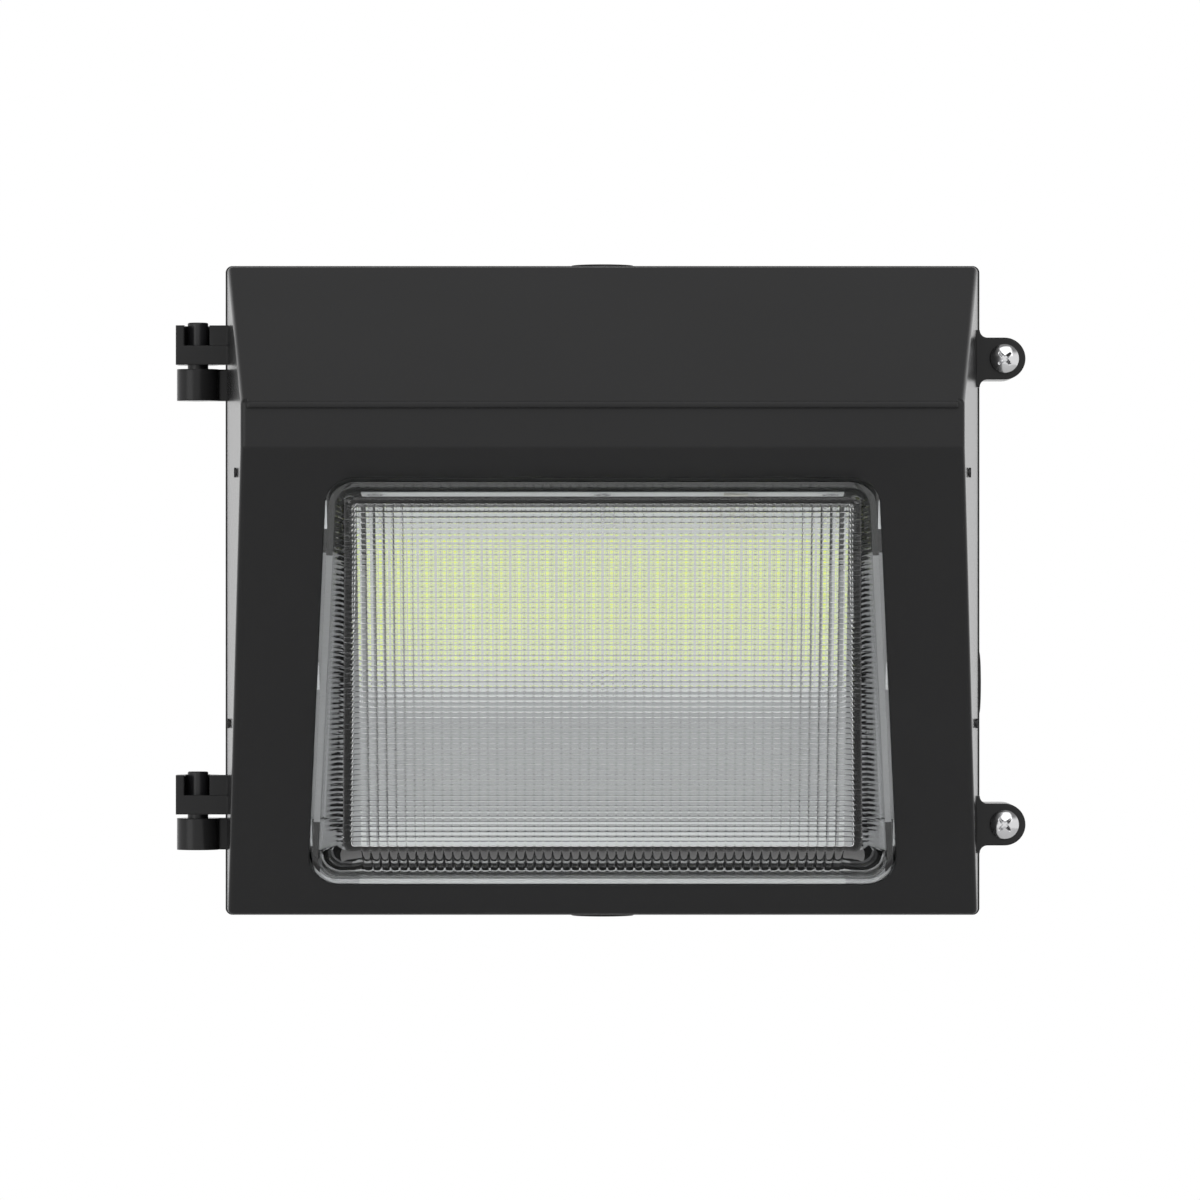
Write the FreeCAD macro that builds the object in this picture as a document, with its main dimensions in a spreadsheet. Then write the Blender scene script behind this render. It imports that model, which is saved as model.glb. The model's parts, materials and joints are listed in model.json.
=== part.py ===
import FreeCAD, Part
import math
import os
import re
import Sketcher

# Wall pack light. Millimetres and degrees. The origin is the middle of the back face that
# lies on the wall, the front looks along -Y, and +Z is up.

sizes = {
    # casting shared by the rear housing and the door
    "body_width": 329.0,
    "body_height": 283.0,
    "corner_radius": 3.0,
    # rear housing
    "housing_depth": 55.0,
    "housing_wall": 3.0,
    "housing_proud": 0.6,
    "back_radius": 2.0,
    "lip_width": 8.0,
    "lip_depth": 4.0,
    "rim_gap": 0.5,
    # door
    "door_wall": 3.0,
    "door_rim": 7.0,
    "door_reach": 134.0,
    "brow_drop": 62.5,
    "brow_lip": 2.6,
    "nose_step": 1.5,
    "lip_inset": 2.5,
    "edge_radius": 2.5,
    "top_radius": 5.0,
    "band_height": 19.0,
    "foot_reach": 11.4,
    "side_draft": 5.4,
    "seal_width": 4.0,
    "seal_inset": 2.2,
    "seal_depth": 3.0,
    "seal_proud": 0.2,
    # hinges on the left
    "hinge_out": 12.7,
    "knuckle_radius": 9.2,
    "hinge_web": 8.0,
    "pin_radius": 4.5,
    "pin_clearance": 0.08,
    "pin_stand": 1.4,
    "arm_tall": 17.2,
    "barrel_tall": 13.8,
    "hinge_gap": 1.8,
    "upper_hinge_drop": 25.7,
    "lower_hinge_rise": 60.8,
    "slot_width": 11.0,
    "slot_tall": 8.8,
    # closing screws on the right
    "lug_out": 10.8,
    "lug_radius": 9.15,
    "lug_root": 3.3,
    "door_lug": 14.0,
    "housing_lug": 15.0,
    "upper_lug_drop": 40.4,
    "lower_lug_rise": 39.4,
    "screw_head_radius": 6.5,
    "screw_head_tall": 3.6,
    "screw_core_radius": 2.45,
    "screw_length": 22.0,
    "cross_length": 7.4,
    "cross_width": 1.6,
    "cross_depth": 1.8,
    "thread_radius": 3.05,
    "lug_hole_radius": 3.4,
    "ring_radius": 4.6,
    "ring_tall": 1.0,
    "ring_inset": 0.5,
    "ring_pocket_radius": 5.2,
    "ring_pocket_depth": 10.0,
    # conduit entries
    "conduit_depth": 28.0,
    "conduit_side_height": -40.7,
    "conduit_bore_radius": 10.4,
    "hub_radius": 16.0,
    "hub_length": 12.0,
    "plug_flange_radius": 14.0,
    "plug_flange_tall": 1.4,
    "plug_clearance": 0.1,
    "plug_length": 9.0,
    "plug_hex": 9.5,
    "plug_hex_depth": 6.0,
    "o_ring_middle": 11.8,
    "o_ring_wire": 0.9,
    # holes in the back wall
    "wall_hole_across": 240.0,
    "wall_hole_up": 190.0,
    "wall_hole_radius": 3.5,
    "box_hole_across": 88.9,
    "box_hole_radius": 2.7,
    "supply_radius": 11.1,
    # what the housing holds
    "boss_radius": 5.0,
    "boss_tall": 6.0,
    "driver_width": 150.0,
    "driver_height": 56.0,
    "driver_depth": 32.0,
    "driver_middle": -78.0,
    "driver_ear": 14.0,
    "block_ear": 10.0,
    "ear_thickness": 2.5,
    "driver_edge": 3.0,
    "small_screw_radius": 1.9,
    "small_screw_clearance": 0.1,
    "small_head_radius": 3.6,
    "small_head_tall": 2.4,
    "small_screw_bite": 5.0,
    "terminal_across": -100.0,
    "terminal_up": -16.0,
    "terminal_width": 36.0,
    "terminal_height": 20.0,
    "terminal_depth": 18.0,
    "terminal_pitch": 11.0,
    "surge_across": 92.0,
    "surge_up": -16.0,
    "surge_width": 34.0,
    "surge_height": 26.0,
    "surge_depth": 20.0,
    "ground_inset": 24.5,
    "ground_up": -40.0,
    # lens
    "glass_top_margin": 16.2,
    "glass_foot_margin": 16.8,
    "glass_top_width": 230.0,
    "glass_foot_width": 254.0,
    "glass_corner": 12.0,
    "glass_gap": 1.3,
    "glass_wall": 5.0,
    "glass_edge": 6.0,
    "glass_front_width": 215.0,
    "glass_front_drop": 2.0,
    "glass_front_foot": 39.5,
    "glass_rise": 12.0,
    "glass_turn": 9.2,
    "glass_flange": 7.0,
    "flange_thickness": 4.0,
    "lens_seal": 2.0,
    "clip_margin": 21.0,
    "clip_top_across": 60.0,
    "clip_width": 14.0,
    "clip_length": 16.0,
    "clip_thickness": 1.6,
    "clip_out": 5.5,
    "clip_boss_radius": 4.0,
    # LED tray and board
    "tray_depth": 18.0,
    "tray_sheet": 1.5,
    "tray_flange": 10.0,
    "tray_over": 5.0,
    "tray_clearance": 0.5,
    "tray_screw_margin": 10.0,
    "tray_screw_spacing": 125.5,
    "tray_screw_behind": 6.0,
    "tray_screw_radius": 1.5,
    "tray_head_radius": 2.1,
    "tray_head_tall": 1.0,
    "tray_screw_bite": 6.0,
    "board_width": 206.0,
    "board_drop": 20.0,
    "board_height": 94.0,
    "board_thickness": 1.6,
    "board_edge": 6.0,
    "led_columns": 20,
    "led_rows": 12,
    "led_pitch": 10.0,
    "led_row_pitch": 5.3,
    "led_drop": 18.5,
    "led_width": 5.7,
    "led_height": 3.0,
    "led_tall": 0.8,
    "board_screw_length": 5.0,
    "connector_width": 10.0,
    "connector_height": 8.0,
    "connector_depth": 5.0,
}

document = FreeCAD.newDocument("WallPackLight")
sheet = document.addObject("Spreadsheet::Sheet", "Size")
for row, (alias, amount) in enumerate(sizes.items(), start=1):
    sheet.set(f"A{row}", alias)
    sheet.set(f"B{row}", str(amount))
    sheet.setAlias(f"B{row}", alias)
document.recompute()

pieces = []


def formula(text):
    """The text with the sheet's name put before each of its aliases."""
    return re.sub("[a-z]+_[a-z_]+", lambda word: f"Size.{word.group()}", text)


def number(text):
    result = sheet.evalExpression(formula(text))
    return float(getattr(result, "Value", result))


def bind(item, **texts):
    for name, text in texts.items():
        item.setExpression(name.replace("__", "."), formula(text))


def newBody(label):
    body = document.addObject("PartDesign::Body", label)
    body.Label = label
    pieces.append(body)
    return body


def newSketch(body, name, role, lift="0"):
    """An empty sketch on one of the body's own origin planes, lifted along the plane's normal."""
    sketch = body.newObject("Sketcher::SketchObject", f"{body.Label}_{name}")
    plane = next(item for item in body.Origin.OriginFeatures if item.Role == role)
    sketch.AttachmentSupport = [(plane, "")]
    sketch.MapMode = "FlatFace"
    bind(sketch, AttachmentOffset__Base__z=lift)
    return sketch


def pin(sketch, item, end, across, up):
    """Holds a point of the sketch at two bound distances from its origin."""
    for kind, text in (("DistanceX", across), ("DistanceY", up)):
        index = sketch.addConstraint(Sketcher.Constraint(kind, -1, 1, item, end, number(text)))
        sketch.setExpression(f"Constraints[{index}]", formula(text))


def addCircle(sketch, across, up, radius):
    centre = FreeCAD.Vector(number(across), number(up), 0)
    item = sketch.addGeometry(Part.Circle(centre, FreeCAD.Vector(0, 0, 1), number(radius)))
    pin(sketch, item, 3, across, up)
    index = sketch.addConstraint(Sketcher.Constraint("Radius", item, number(radius)))
    sketch.setExpression(f"Constraints[{index}]", formula(radius))


def addOutline(sketch, corners):
    """A closed outline. A corner is (across, up), or (across, up, radius, turn) where an arc leaves it.
    A turn of 1 bends to the left on the way to the next corner, and -1 to the right."""
    spots = [FreeCAD.Vector(number(corner[0]), number(corner[1]), 0) for corner in corners]
    ends = []
    for place, corner in enumerate(corners):
        start = spots[place]
        finish = spots[(place + 1) % len(spots)]
        if len(corner) == 2:
            ends.append((sketch.addGeometry(Part.LineSegment(start, finish)), 1, 2))
            continue
        radius = number(corner[2])
        turn = corner[3]
        chord = finish - start
        side = FreeCAD.Vector(chord.y, -chord.x, 0).normalize() * turn
        rise = radius - math.sqrt(max(radius**2 - chord.Length**2 / 4, 0))
        middle = (start + finish) / 2 + side * rise
        item = sketch.addGeometry(Part.Arc(start, middle, finish))
        ends.append((item, 1, 2) if turn > 0 else (item, 2, 1))
        index = sketch.addConstraint(Sketcher.Constraint("Radius", item, radius))
        sketch.setExpression(f"Constraints[{index}]", formula(corner[2]))
    for place, (item, first, last) in enumerate(ends):
        following, entry, unused = ends[(place + 1) % len(ends)]
        sketch.addConstraint(Sketcher.Constraint("Coincident", item, last, following, entry))
        pin(sketch, item, first, corners[place][0], corners[place][1])


def box(left, right, foot, top):
    return [(left, foot), (right, foot), (right, top), (left, top)]


def roundedBox(halfWidth, halfHeight, radius):
    inner = f"({halfWidth} - ({radius}))"
    upper = f"({halfHeight} - ({radius}))"
    return [
        (f"-{inner}", f"-({halfHeight})"),
        (inner, f"-({halfHeight})", radius, 1),
        (halfWidth, f"-{upper}"),
        (halfWidth, upper, radius, 1),
        (inner, halfHeight),
        (f"-{inner}", halfHeight, radius, 1),
        (f"-({halfWidth})", upper),
        (f"-({halfWidth})", f"-{upper}", radius, 1),
    ]


def pad(sketch, length, side="One side"):
    """side is One side, Symmetric or Reversed."""
    body = sketch.getParentGeoFeatureGroup()
    feature = body.newObject("PartDesign::Pad", f"{sketch.Name}_pad")
    feature.Profile = sketch
    feature.SideType = "Symmetric" if side == "Symmetric" else "One side"
    feature.Reversed = side == "Reversed"
    bind(feature, Length=length)
    return feature


def pocket(sketch, length, side="One side"):
    """Cuts against the sketch's normal, or along it where side is Reversed."""
    body = sketch.getParentGeoFeatureGroup()
    feature = body.newObject("PartDesign::Pocket", f"{sketch.Name}_pocket")
    feature.Profile = sketch
    feature.SideType = "Symmetric" if side == "Symmetric" else "One side"
    feature.Reversed = side == "Reversed"
    bind(feature, Length=length)
    return feature


def fillet(body, name, radius, wanted):
    """Rounds the edges of the body's tip for which wanted(edge) is true."""
    document.recompute()
    tip = body.Tip
    names = [f"Edge{place}" for place, edge in enumerate(tip.Shape.Edges, start=1) if wanted(edge)]
    feature = body.newObject("PartDesign::Fillet", f"{body.Label}_{name}")
    feature.Base = (tip, names)
    bind(feature, Radius=radius)
    return feature


def middle(edge):
    return edge.valueAt((edge.FirstParameter + edge.LastParameter) / 2)


# Places that several pieces share

doorBack = "(housing_depth + rim_gap)"
noseDepth = f"({doorBack} + door_reach)"
bandDepth = f"({noseDepth} - nose_step)"
hingeAcross = "(-(body_width / 2 + hinge_out))"
hingeDepth = "(housing_depth + rim_gap / 2)"
lugAcross = "(body_width / 2 + lug_out)"
browHeight = "(body_height / 2 - brow_drop)"
bandFoot = f"({browHeight} - band_height)"
faceRun = f"({bandFoot} + body_height / 2)"
faceTilt = f"(atan((door_reach - nose_step - foot_reach) / {faceRun}) / 1 deg)"
glassLength = f"({faceRun} / cos({faceTilt}) - glass_top_margin - glass_foot_margin)"
glassMiddle = f"({bandFoot} - (glass_top_margin + {glassLength} / 2) * cos({faceTilt}))"
faceDepth = f"({bandDepth} - (glass_top_margin + {glassLength} / 2) * sin({faceTilt}))"
glassFrontTop = f"({glassLength} / 2 - glass_front_drop)"
boardTop = f"({glassLength} / 2 - board_drop)"
hinges = {"upper": "(body_height / 2 - upper_hinge_drop)", "lower": "(lower_hinge_rise - body_height / 2)"}
lugs = {"upper": "(body_height / 2 - upper_lug_drop)", "lower": "(lower_lug_rise - body_height / 2)"}


# Rear housing: a deep box open to the front, with a lip turned in at its mouth

housing = newBody("rear_housing")
outer = newSketch(housing, "Outer", "XZ_Plane")
housingSide = "(body_width / 2 + housing_proud)"
housingTop = "(body_height / 2 + housing_proud)"
addOutline(outer, roundedBox(housingSide, housingTop, "corner_radius"))
pad(outer, "housing_depth")
fillet(housing, "BackEdge", "back_radius", lambda edge: edge.BoundBox.YMin > -0.01)
mouth = newSketch(housing, "Mouth", "XZ_Plane", "housing_depth")
lipSide = "(body_width / 2 - lip_width)"
lipTop = "(body_height / 2 - lip_width)"
addOutline(mouth, roundedBox(lipSide, lipTop, "corner_radius"))
pocket(mouth, "housing_depth - housing_wall")
cavity = newSketch(housing, "Cavity", "XZ_Plane", "housing_depth - lip_depth")
addOutline(cavity, roundedBox(f"({housingSide} - housing_wall)", f"({housingTop} - housing_wall)",
                              "corner_radius"))
pocket(cavity, "housing_depth - lip_depth - housing_wall")

# Conduit hubs on the top, the bottom and the right, each with a bore and a seat for a sealing ring
entries = {
    "top": ("XY_Plane", housingTop, "0", "-conduit_depth", 1),
    "bottom": ("XY_Plane", housingTop, "0", "-conduit_depth", -1),
    "right": ("YZ_Plane", housingSide, "-conduit_depth", "conduit_side_height", 1),
}
for name, (role, outside, across, up, sense) in entries.items():
    way = "Reversed" if sense < 0 else "One side"
    hub = newSketch(housing, f"Hub_{name}", role, f"{sense} * ({outside} - hub_length)")
    addCircle(hub, across, up, "hub_radius")
    pad(hub, "hub_length - housing_wall / 2", way)
    bore = newSketch(housing, f"Bore_{name}", role, f"{sense} * {outside}")
    addCircle(bore, across, up, "conduit_bore_radius")
    pocket(bore, "hub_length + housing_wall", way)
    seat = newSketch(housing, f"Seat_{name}", role, f"{sense} * {outside}")
    addCircle(seat, across, up, "(o_ring_middle + o_ring_wire)")
    pocket(seat, "2 * o_ring_wire", way)

# Hinge barrels on the left and screw lugs on the right
for name, top in hinges.items():
    lift = f"({top} - arm_tall - hinge_gap - barrel_tall)"
    barrel = newSketch(housing, f"Barrel_{name}", "XY_Plane", lift)
    addCircle(barrel, hingeAcross, f"-{hingeDepth}", "knuckle_radius")
    pad(barrel, "barrel_tall")
    web = newSketch(housing, f"BarrelWeb_{name}", "XY_Plane", lift)
    addOutline(web, box(hingeAcross, "-(body_width / 2)", "-housing_depth", "-(housing_depth - hinge_web)"))
    pad(web, "barrel_tall")
    hole = newSketch(housing, f"PinHole_{name}", "XY_Plane", lift)
    addCircle(hole, hingeAcross, f"-{hingeDepth}", "pin_radius")
    pocket(hole, "barrel_tall", "Reversed")


def lugOutline(up):
    """A lug with a round end and flared roots on the right side of a casting."""
    root = "(body_width / 2 + lug_root)"
    flare = "(lug_radius + lug_root)"
    inside = "(body_width / 2 - door_wall / 2)"
    return [
        (inside, f"{up} - {flare}"),
        ("(body_width / 2)", f"{up} - {flare}", "lug_root", -1),
        (root, f"{up} - lug_radius"),
        (lugAcross, f"{up} - lug_radius", "lug_radius", 1),
        (f"{lugAcross} + lug_radius", up, "lug_radius", 1),
        (lugAcross, f"{up} + lug_radius"),
        (root, f"{up} + lug_radius", "lug_root", -1),
        ("(body_width / 2)", f"{up} + {flare}"),
        (inside, f"{up} + {flare}"),
    ]


for name, up in lugs.items():
    lug = newSketch(housing, f"Lug_{name}", "XZ_Plane", "housing_depth - housing_lug")
    addOutline(lug, lugOutline(up))
    pad(lug, "housing_lug")
    thread = newSketch(housing, f"Thread_{name}", "XZ_Plane", "housing_depth")
    addCircle(thread, lugAcross, up, "thread_radius")
    pocket(thread, "housing_lug")

# Bosses inside the back wall, each drilled for its screw
driverScrews = [
    (f"{side} * (driver_width / 2 + driver_ear / 2)", f"driver_middle {shift} driver_height / 4")
    for side in (-1, 1)
    for shift in ("-", "+")
]
terminalScrews = [
    (f"terminal_across {shift} (terminal_width + block_ear) / 2", "terminal_up")
    for shift in ("-", "+")
]
surgeScrews = [
    (f"surge_across {shift} (surge_width + block_ear) / 2", "surge_up")
    for shift in ("-", "+")
]
groundScrews = [("-(body_width / 2 - ground_inset)", "ground_up")]
bossTop = "(housing_wall + boss_tall)"
bosses = newSketch(housing, "Bosses", "XZ_Plane", "housing_wall / 2")
bossHoles = newSketch(housing, "BossHoles", "XZ_Plane", bossTop)
for across, up in driverScrews + terminalScrews + surgeScrews + groundScrews:
    addCircle(bosses, across, up, "boss_radius")
    addCircle(bossHoles, across, up, "small_screw_radius + small_screw_clearance")
pad(bosses, "boss_tall + housing_wall / 2")
pocket(bossHoles, "boss_tall")

# Holes through the back wall: four to the wall, two to a junction box, one for the supply
backHoles = newSketch(housing, "BackHoles", "XZ_Plane", "housing_wall")
for side in (-1, 1):
    for level in (-1, 1):
        addCircle(backHoles, f"{side} * wall_hole_across / 2", f"{level} * wall_hole_up / 2",
                  "wall_hole_radius")
    addCircle(backHoles, f"{side} * box_hole_across / 2", "0", "box_hole_radius")
addCircle(backHoles, "0", "0", "supply_radius")
pocket(backHoles, "housing_wall")


# Hinge pins, held in the rear barrels

for name, top in hinges.items():
    hingePin = newBody(f"hinge_pin_{name}")
    shaft = newSketch(hingePin, "Shaft", "XY_Plane", f"({top} - arm_tall - hinge_gap - barrel_tall)")
    addCircle(shaft, hingeAcross, f"-{hingeDepth}", "pin_radius")
    pad(shaft, "barrel_tall + hinge_gap + arm_tall + pin_stand")
    fillet(hingePin, "Top", "pin_stand / 2", lambda edge: edge.Closed and middle(edge).z > number(top))


# Conduit plugs with hexagon sockets, and the rings under their flanges

def alongEntry(place, role, across, up, sense, start):
    """Puts a piece made along +Z at the outside of a conduit entry, start beyond the outside face."""
    if role == "YZ_Plane":
        place.Placement = FreeCAD.Placement(FreeCAD.Vector(), FreeCAD.Rotation(FreeCAD.Vector(0, 1, 0), 90))
        bind(place, Placement__Base__x=start, Placement__Base__y=across, Placement__Base__z=up)
    else:
        turn = 0 if sense > 0 else 180
        place.Placement = FreeCAD.Placement(FreeCAD.Vector(), FreeCAD.Rotation(FreeCAD.Vector(1, 0, 0), turn))
        bind(place, Placement__Base__x=across, Placement__Base__y=up, Placement__Base__z=f"{sense} * {start}")


hexagon = [
    (f"plug_hex / 2 / cos(30) * cos({angle})", f"plug_hex / 2 / cos(30) * sin({angle})")
    for angle in range(0, 360, 60)
]
rings = []
for name, (role, outside, across, up, sense) in entries.items():
    plug = newBody(f"conduit_plug_{name}")
    flange = newSketch(plug, "Flange", "XY_Plane")
    addCircle(flange, "0", "0", "plug_flange_radius")
    pad(flange, "plug_flange_tall")
    shank = newSketch(plug, "Shank", "XY_Plane")
    addCircle(shank, "0", "0", "conduit_bore_radius - plug_clearance")
    pad(shank, "plug_length", "Reversed")
    socket = newSketch(plug, "Socket", "XY_Plane", "plug_flange_tall")
    addOutline(socket, hexagon)
    pocket(socket, "plug_hex_depth")
    fillet(plug, "FlangeEdge", "plug_flange_tall / 2",
           lambda edge: edge.Closed and edge.BoundBox.XLength > number("2 * plug_flange_radius - 0.1")
           and middle(edge).z > number("plug_flange_tall / 2"))
    alongEntry(plug, role, across, up, sense, outside)
    ring = document.addObject("Part::Torus", f"o_ring_{name}")
    bind(ring, Radius1="o_ring_middle", Radius2="o_ring_wire")
    alongEntry(ring, role, across, up, sense, f"({outside} - o_ring_wire)")
    rings.append(ring)
plugRings = document.addObject("Part::Compound", "plug_o_rings")
plugRings.Links = rings
pieces.append(plugRings)


# Driver, terminal block, surge protector and their screws

def wallScrews(label, places, depth, bite):
    """One body of equal pan head screws that point at the wall, with their seats at depth."""
    body = newBody(label)
    heads = newSketch(body, "Heads", "XZ_Plane", depth)
    shanks = newSketch(body, "Shanks", "XZ_Plane", depth)
    for across, up in places:
        addCircle(heads, across, up, "small_head_radius")
        addCircle(shanks, across, up, "small_screw_radius")
    pad(heads, "small_head_tall")
    pad(shanks, bite, "Reversed")


driver = newBody("led_driver")
ears = newSketch(driver, "Ears", "XZ_Plane", bossTop)
addOutline(ears, box("-(driver_width / 2 + driver_ear)", "driver_width / 2 + driver_ear",
                     "driver_middle - driver_height / 2", "driver_middle + driver_height / 2"))
pad(ears, "ear_thickness")
case = newSketch(driver, "Case", "XZ_Plane", bossTop)
addOutline(case, box("-driver_width / 2", "driver_width / 2",
                     "driver_middle - driver_height / 2", "driver_middle + driver_height / 2"))
pad(case, "driver_depth")
fillet(driver, "CaseEdges", "driver_edge", lambda edge: abs(edge.tangentAt(edge.FirstParameter).x) > 0.99
       and middle(edge).y < number(f"-({bossTop} + ear_thickness + 1)"))
earHoles = newSketch(driver, "EarHoles", "XZ_Plane", f"{bossTop} + ear_thickness")
for across, up in driverScrews:
    addCircle(earHoles, across, up, "small_screw_radius + small_screw_clearance")
pocket(earHoles, "ear_thickness")
earTop = f"({bossTop} + ear_thickness)"
earBite = "ear_thickness + small_screw_bite"
wallScrews("driver_screws", driverScrews, earTop, earBite)


def earedBlock(label, across, up, width, height, depth, screws):
    """A block with a thin ear at each end, seated on two bosses."""
    body = newBody(label)
    foot = newSketch(body, "Foot", "XZ_Plane", bossTop)
    addOutline(foot, box(f"{across} - {width} / 2 - block_ear", f"{across} + {width} / 2 + block_ear",
                         f"{up} - {height} / 2", f"{up} + {height} / 2"))
    pad(foot, "ear_thickness")
    block = newSketch(body, "Block", "XZ_Plane", bossTop)
    addOutline(block, box(f"{across} - {width} / 2", f"{across} + {width} / 2",
                          f"{up} - {height} / 2", f"{up} + {height} / 2"))
    pad(block, depth)
    holes = newSketch(body, "Holes", "XZ_Plane", f"{bossTop} + ear_thickness")
    for screwAcross, screwUp in screws:
        addCircle(holes, screwAcross, screwUp, "small_screw_radius + small_screw_clearance")
    pocket(holes, "ear_thickness")
    return body


terminal = earedBlock("terminal_block", "terminal_across", "terminal_up",
                      "terminal_width", "terminal_height", "terminal_depth", terminalScrews)
wireHoles = newSketch(terminal, "WireHoles", "XZ_Plane", f"{bossTop} + terminal_depth")
clampPlaces = [(f"terminal_across + {step} * terminal_pitch", "terminal_up") for step in (-1, 0, 1)]
for across, up in clampPlaces:
    addCircle(wireHoles, across, up, "small_head_radius + small_screw_clearance")
pocket(wireHoles, "terminal_depth / 2")
earedBlock("surge_protector", "surge_across", "surge_up",
           "surge_width", "surge_height", "surge_depth", surgeScrews)
wallScrews("terminal_screws", terminalScrews, earTop, earBite)
wallScrews("surge_screws", surgeScrews, earTop, earBite)
wallScrews("ground_screw", groundScrews, bossTop, "small_screw_bite")
clamps = newBody("terminal_clamps")
clampHeads = newSketch(clamps, "Heads", "XZ_Plane", f"{bossTop} + terminal_depth / 2")
for across, up in clampPlaces:
    addCircle(clampHeads, across, up, "small_head_radius")
pad(clampHeads, "small_head_tall")


# Front door: a wedge that slopes forward from its top edge to the brow and back below it

topSlope = "(brow_drop / (door_reach - door_rim))"
topRun = f"(top_radius * tan(atan({topSlope}) / 2))"
door = newBody("front_door")
profile = newSketch(door, "Profile", "YZ_Plane")
addOutline(profile, [
    (f"-{doorBack}", "-body_height / 2"),
    (f"-{doorBack}", "body_height / 2"),
    (f"-({doorBack} + door_rim - {topRun})", "body_height / 2", "top_radius", 1),
    (f"-({doorBack} + door_rim + {topRun} * cos(atan({topSlope})))",
     f"body_height / 2 - {topRun} * sin(atan({topSlope}))"),
    (f"-{bandDepth}", f"{browHeight} + nose_step * {topSlope}"),
    (f"-{bandDepth}", bandFoot),
    (f"-({doorBack} + foot_reach)", "-body_height / 2"),
])
pad(profile, "body_width", "Symmetric")
drafts = newSketch(door, "Drafts", "XY_Plane")
for side in (-1, 1):
    addOutline(drafts, [
        (f"{side} * body_width / 2", f"-{doorBack}"),
        (f"{side} * (body_width / 2 + door_wall)", f"-{doorBack}"),
        (f"{side} * (body_width / 2 + door_wall)", f"-({noseDepth} + door_wall)"),
        (f"{side} * (body_width / 2 - (door_reach + door_wall) * tan(side_draft))",
         f"-({noseDepth} + door_wall)"),
    ])
pocket(drafts, "body_height + door_wall", "Symmetric")
document.recompute()
wedge = door.Tip
backFace = next(
    f"Face{place}" for place, face in enumerate(wedge.Shape.Faces, start=1)
    if face.BoundBox.YMin > number(f"-{doorBack}") - 0.01
)
shell = door.newObject("PartDesign::Thickness", "front_door_shell")
shell.Base = (wedge, [backFace])
shell.Join = "Intersection"
shell.Reversed = True
bind(shell, Value="door_wall")


def onDoorSide(edge):
    """True for an outer edge with both ends on the side walls' outer faces, apart from the back edges."""
    draft = math.tan(math.radians(number("side_draft")))
    for vertex in edge.Vertexes:
        depth = -vertex.Y - number(doorBack)
        if abs(abs(vertex.X) - (number("body_width / 2") - depth * draft)) > 0.01:
            return False
    return middle(edge).y < number(f"-{doorBack}") - 0.1


fillet(door, "OuterEdges", "edge_radius", onDoorSide)
lip = newSketch(door, "Lip", "YZ_Plane")
addOutline(lip, [
    (f"-{noseDepth}", browHeight),
    (f"-({bandDepth} - door_wall / 2)", f"{browHeight} + (nose_step + door_wall / 2) * {topSlope}"),
    (f"-({bandDepth} - door_wall / 2)", f"{browHeight} - brow_lip"),
    (f"-{noseDepth}", f"{browHeight} - brow_lip"),
])
pad(lip, "body_width - 2 * door_reach * tan(side_draft) - 2 * lip_inset", "Symmetric")
fillet(door, "LipEdges", "brow_lip / 3", lambda edge: edge.BoundBox.YMax < number(f"-{noseDepth}") + 0.01)

rim = newSketch(door, "Rim", "XZ_Plane", doorBack)
addOutline(rim, roundedBox("(body_width / 2 - door_wall / 2)", "(body_height / 2 - door_wall / 2)",
                           "corner_radius"))
addOutline(rim, roundedBox(lipSide, lipTop, "corner_radius"))
pad(rim, "door_rim")


def sealLoop(sketch):
    addOutline(sketch, roundedBox("(body_width / 2 - seal_inset)", "(body_height / 2 - seal_inset)",
                                  "corner_radius"))
    addOutline(sketch, roundedBox("(body_width / 2 - seal_inset - seal_width)",
                                  "(body_height / 2 - seal_inset - seal_width)", "corner_radius"))


groove = newSketch(door, "Groove", "XZ_Plane", doorBack)
sealLoop(groove)
pocket(groove, "seal_depth", "Reversed")
doorGasket = newBody("door_gasket")
cordLoop = newSketch(doorGasket, "Loop", "XZ_Plane", f"({doorBack} - seal_proud)")
sealLoop(cordLoop)
pad(cordLoop, "seal_depth + seal_proud")

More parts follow.
